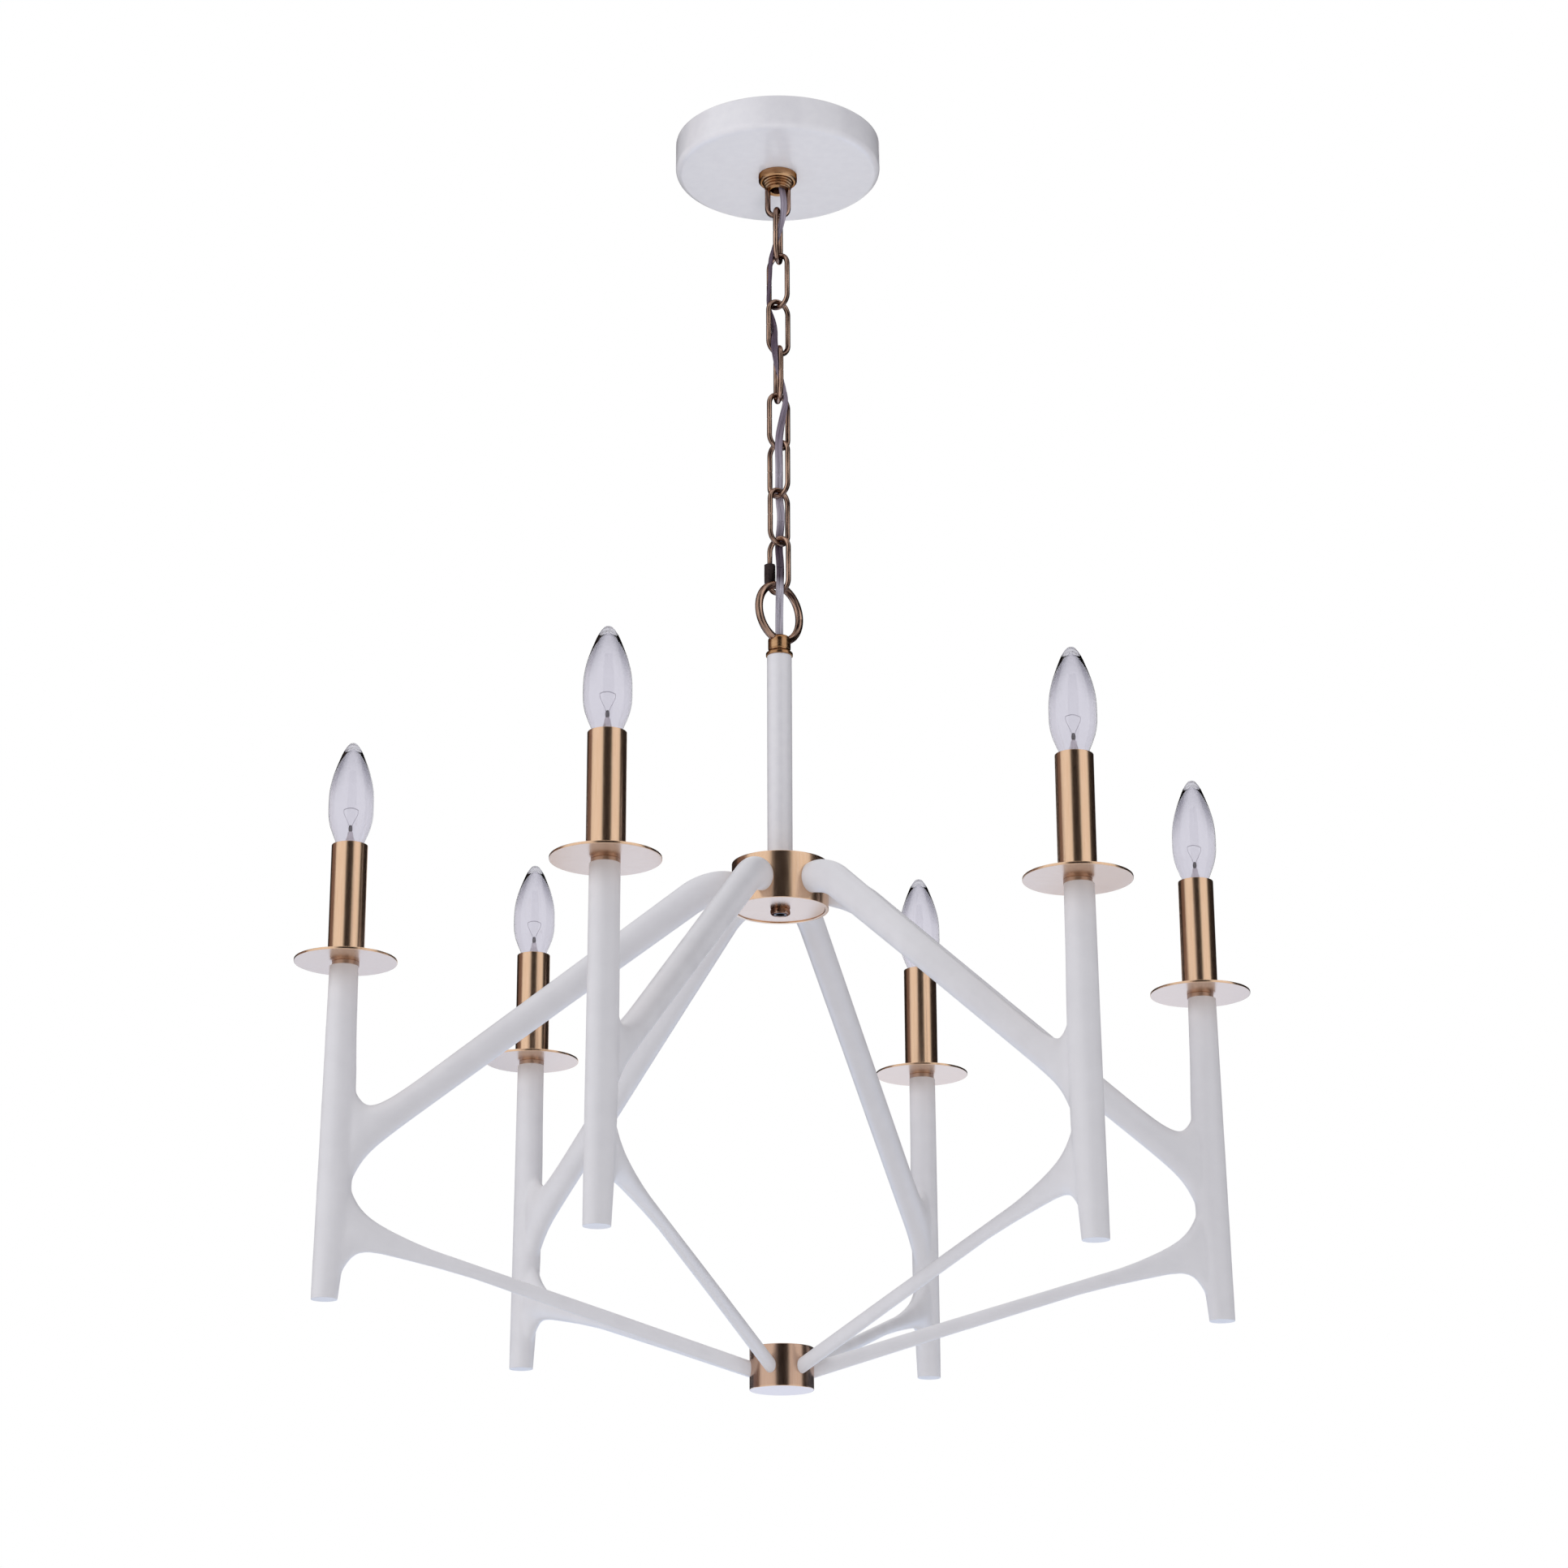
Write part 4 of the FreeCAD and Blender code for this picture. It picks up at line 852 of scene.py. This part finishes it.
# The filament hangs between the lead wires' ends, bowed up in its middle
filament_height, filament_half, filament_bow = 116.0, 5.3, 1.6
coil_radius, coil_turns = 0.3, 46
lead_points = [(0.8, 100.0), (1.3, 104.5), (3.2, 109.0), (5.0, 113.0), (filament_half, filament_height)]
lead_lines = [through([(side * x, 0, z) for x, z in lead_points], 30) for side in (-1, 1)]
coil_turn = np.linspace(0.0, 2 * math.pi * coil_turns, coil_turns * 9)
coil_x = np.linspace(-filament_half, filament_half, len(coil_turn))
coil_z = filament_height + filament_bow * (1 - (coil_x / filament_half) ** 2)
coil_line = np.c_[coil_x, coil_radius * np.cos(coil_turn), coil_z + coil_radius * np.sin(coil_turn)]
# Each wire's name, line and radius
wires = (("lead_a", lead_lines[0], 0.17), ("lead_b", lead_lines[1], 0.17), ("filament", coil_line, 0.06))
# The screw cap, (radius, height): its contact, its rolled thread, which climbs as it turns, and its rim
cap_contact = [(0.0, -621.3), (3.0, -621.3), (3.0, -619.7), (5.3, -616.9)]
cap_middle, cap_ridge, cap_pitch, cap_facets = 5.6, 0.3, 2.54, 48
cap_rim = [(5.7, -604.8), (7.0, -604.3), (0.0, -604.3)]
cap_turn = np.linspace(0.0, 2 * math.pi, cap_facets, endpoint=False)
thread_z = np.linspace(-616.5, -605.2, 90)
thread_radii = cap_middle + cap_ridge * np.cos(2 * math.pi * thread_z[:, None] / cap_pitch + cap_turn[None])
radii = np.concatenate([
    np.repeat([[radius] for radius, _ in cap_contact], cap_facets, axis=1), thread_radii,
    np.repeat([[radius] for radius, _ in cap_rim], cap_facets, axis=1),
])
heights = np.concatenate([[z for _, z in cap_contact], thread_z, [z for _, z in cap_rim]])
cap_grid = np.stack([
    radii * np.cos(cap_turn), radii * np.sin(cap_turn), np.broadcast_to(heights[:, None], radii.shape),
], axis=-1)
for k, (x, y) in enumerate(candle_centres):
    body, spot = "bulb_%d" % (k + 1), [(x, y)]
    taller = 1 + glass_extra[k] / (glass_tip - glass_foot)
    outline = glass_outline * (1.0, taller) + (0.0, (1 - taller) * glass_outer[0, 1])
    glass = turned("bulb_%d_envelope" % (k + 1), outline, centres=spot, facets=72)
    fitted(glass, clear_glass, body, "clear_glass", "bulb_glass_%d" % (k + 1))
    press = turned("bulb_%d_press" % (k + 1), stem_glass_outline, closed=False, centres=spot, facets=32)
    fitted(press, pressed_glass, body, "clear_glass")
    bead = turned("bulb_%d_bead" % (k + 1), bead_outline, closed=False, centres=spot, facets=24)
    fitted(bead, dark_bead, body, "cap_metal")
    for name, line, radius in wires:
        line = (line + (x, y, disc_bottom)) * mm
        wire = swept("bulb_%d_%s" % (k + 1, name), line, (0.0, 1.0, 0.01), circle(radius * mm, 8))
        fitted(wire, lead_wire, body, "cap_metal")
    cap = surface("bulb_%d_cap" % (k + 1), (cap_grid + (x, y, 0.0)) * mm)
    merged(cap)
    fitted(cap, cap_metal, body, "cap_metal", "bulb_base_%d" % (k + 1))


# STUDIO. A white room with a pale floor under the chandelier, soft lamps to its left and right and below it,
# and dark cards behind the camera and at the sides, which give the brass its dark bands.
floor_height, floor_reach = -2.3, 9.0


def white_to_the_eye(material_parts, plain_shader):
    """Shows plain white to camera, glossy and transmission rays and the plain shader to all others."""
    _, nodes, links, _ = material_parts
    path, white, mix = [nodes.new("ShaderNode" + kind) for kind in ("LightPath", "Emission", "MixShader")]
    either, all_three = nodes.new("ShaderNodeMath"), nodes.new("ShaderNodeMath")
    either.operation = all_three.operation = "MAXIMUM"
    links.new(path.outputs["Is Camera Ray"], either.inputs[0])
    links.new(path.outputs["Is Glossy Ray"], either.inputs[1])
    links.new(either.outputs[0], all_three.inputs[0])
    links.new(path.outputs["Is Transmission Ray"], all_three.inputs[1])
    links.new(all_three.outputs[0], mix.inputs["Fac"])
    links.new(plain_shader, mix.inputs[1])
    links.new(white.outputs[0], mix.inputs[2])
    return mix.outputs[0]


room = bpy.data.worlds.new("room")
room.use_nodes = True
bpy.context.scene.world = room
nodes, links = room.node_tree.nodes, room.node_tree.links
air = nodes["Background"]
air.inputs["Color"].default_value = (0.97, 0.97, 1.0, 1.0)
air.inputs["Strength"].default_value = 0.545
seen = white_to_the_eye((room, nodes, links, None), air.outputs[0])
links.new(seen, nodes["World Output"].inputs["Surface"])

floor_parts = finish("pale_floor", (0.86, 0.86, 0.87), 0.7)
material, nodes, links, shader = floor_parts
# The eye and reflections see this share of the floor as plain white, and the rest with its soft shadows
floor_whiteness = 0.75
whiter = nodes.new("ShaderNodeMixShader")
whiter.inputs["Fac"].default_value = floor_whiteness
links.new(shader.outputs[0], whiter.inputs[1])
links.new(white_to_the_eye(floor_parts, shader.outputs[0]), whiter.inputs[2])
links.new(whiter.outputs[0], nodes["Material Output"].inputs["Surface"])
rings = np.array([0.0, 3.0, floor_reach])[:, None, None] * circle(1.0, 64)
floor = surface("floor", np.dstack([rings, np.full(rings.shape[:2], floor_height)]))
merged(floor)
floor.data.flip_normals()
floor.data.materials.append(material)

black = finish("black_card", (0.014, 0.008, 0.008), 0.9)[0]
brown = finish("brown_card", (0.30, 0.20, 0.17), 0.9)[0]
card_radius, card_bottom, card_top = 2.6, -2.2, 2.6
# Compass angle from the chandelier to the camera, in degrees
toward_camera = -90.0 - 8.9


def band(name, radius, degrees, bottom, top, material):
    """Upright strip round the chandelier, through compass angles, which shows only in reflections."""
    angle = np.radians(degrees)
    strip = surface(name, np.stack([
        np.c_[radius * np.cos(angle), radius * np.sin(angle), np.full(len(angle), z)]
        for z in (bottom, top)
    ]), wrap_columns=False)
    strip.data.materials.append(material)
    strip.visible_camera = strip.visible_diffuse = strip.visible_shadow = strip.visible_transmission = False
    return strip


# Each card's start and end, in degrees to the left of the camera as seen from the chandelier, and its colour
for k, (start, end, colour) in enumerate((
    (-26.0, 20.0, black), (122.0, 172.0, black), (-165.0, -77.0, black), (86.0, 122.0, brown),
)):
    degrees = toward_camera - np.linspace(start, end, 24)
    card = band("black_card_%d" % (k + 1), card_radius, degrees, card_bottom, card_top, colour)

# A cool white sheet low behind the chandelier, which shows as the pale sheen on the brass undersides
cool_light, _, _, shader = finish("cool_sheet", (0.0, 0.0, 0.0), 1.0)
shader.inputs["Emission Color"].default_value = (0.60, 0.76, 1.05, 1.0)
shader.inputs["Emission Strength"].default_value = 1.4
sheet_radius, sheet_bottom, sheet_top = 1.3, -2.1, -0.88
degrees = toward_camera + 180.0 + np.linspace(-75.0, 75.0, 24)
sheet = band("cool_sheet", sheet_radius, degrees, sheet_bottom, sheet_top, cool_light)

# Each lamp's name, place, size and power
for name, place, size, power in (
    ("left_lamp", (-2.6, -1.0, 0.5), 1.3, 26.0), ("right_lamp", (2.2, -1.6, 0.4), 1.1, 7.0),
    ("low_lamp", (0.1, -0.4, -2.2), 1.8, 4.0), ("canopy_lamp", (0.0, -0.75, -2.0), 0.2, 0.032),
):
    light = bpy.data.lights.new(name, "AREA")
    light.size, light.energy = size, power
    lamp = bpy.data.objects.new(name, light)
    lamp.location = place
    target = Vector((0.0, 0.0, -0.6))
    if name == "canopy_lamp":
        # A narrow beam on the canopy's underside
        light.spread = math.radians(9)
        target = Vector((0.0, 0.0, 0.0))
    lamp.rotation_euler = (target - Vector(place)).to_track_quat("-Z", "Y").to_euler()
    lamp.visible_glossy = lamp.visible_transmission = False
    bpy.context.collection.objects.link(lamp)

bpy.context.view_layer.update()
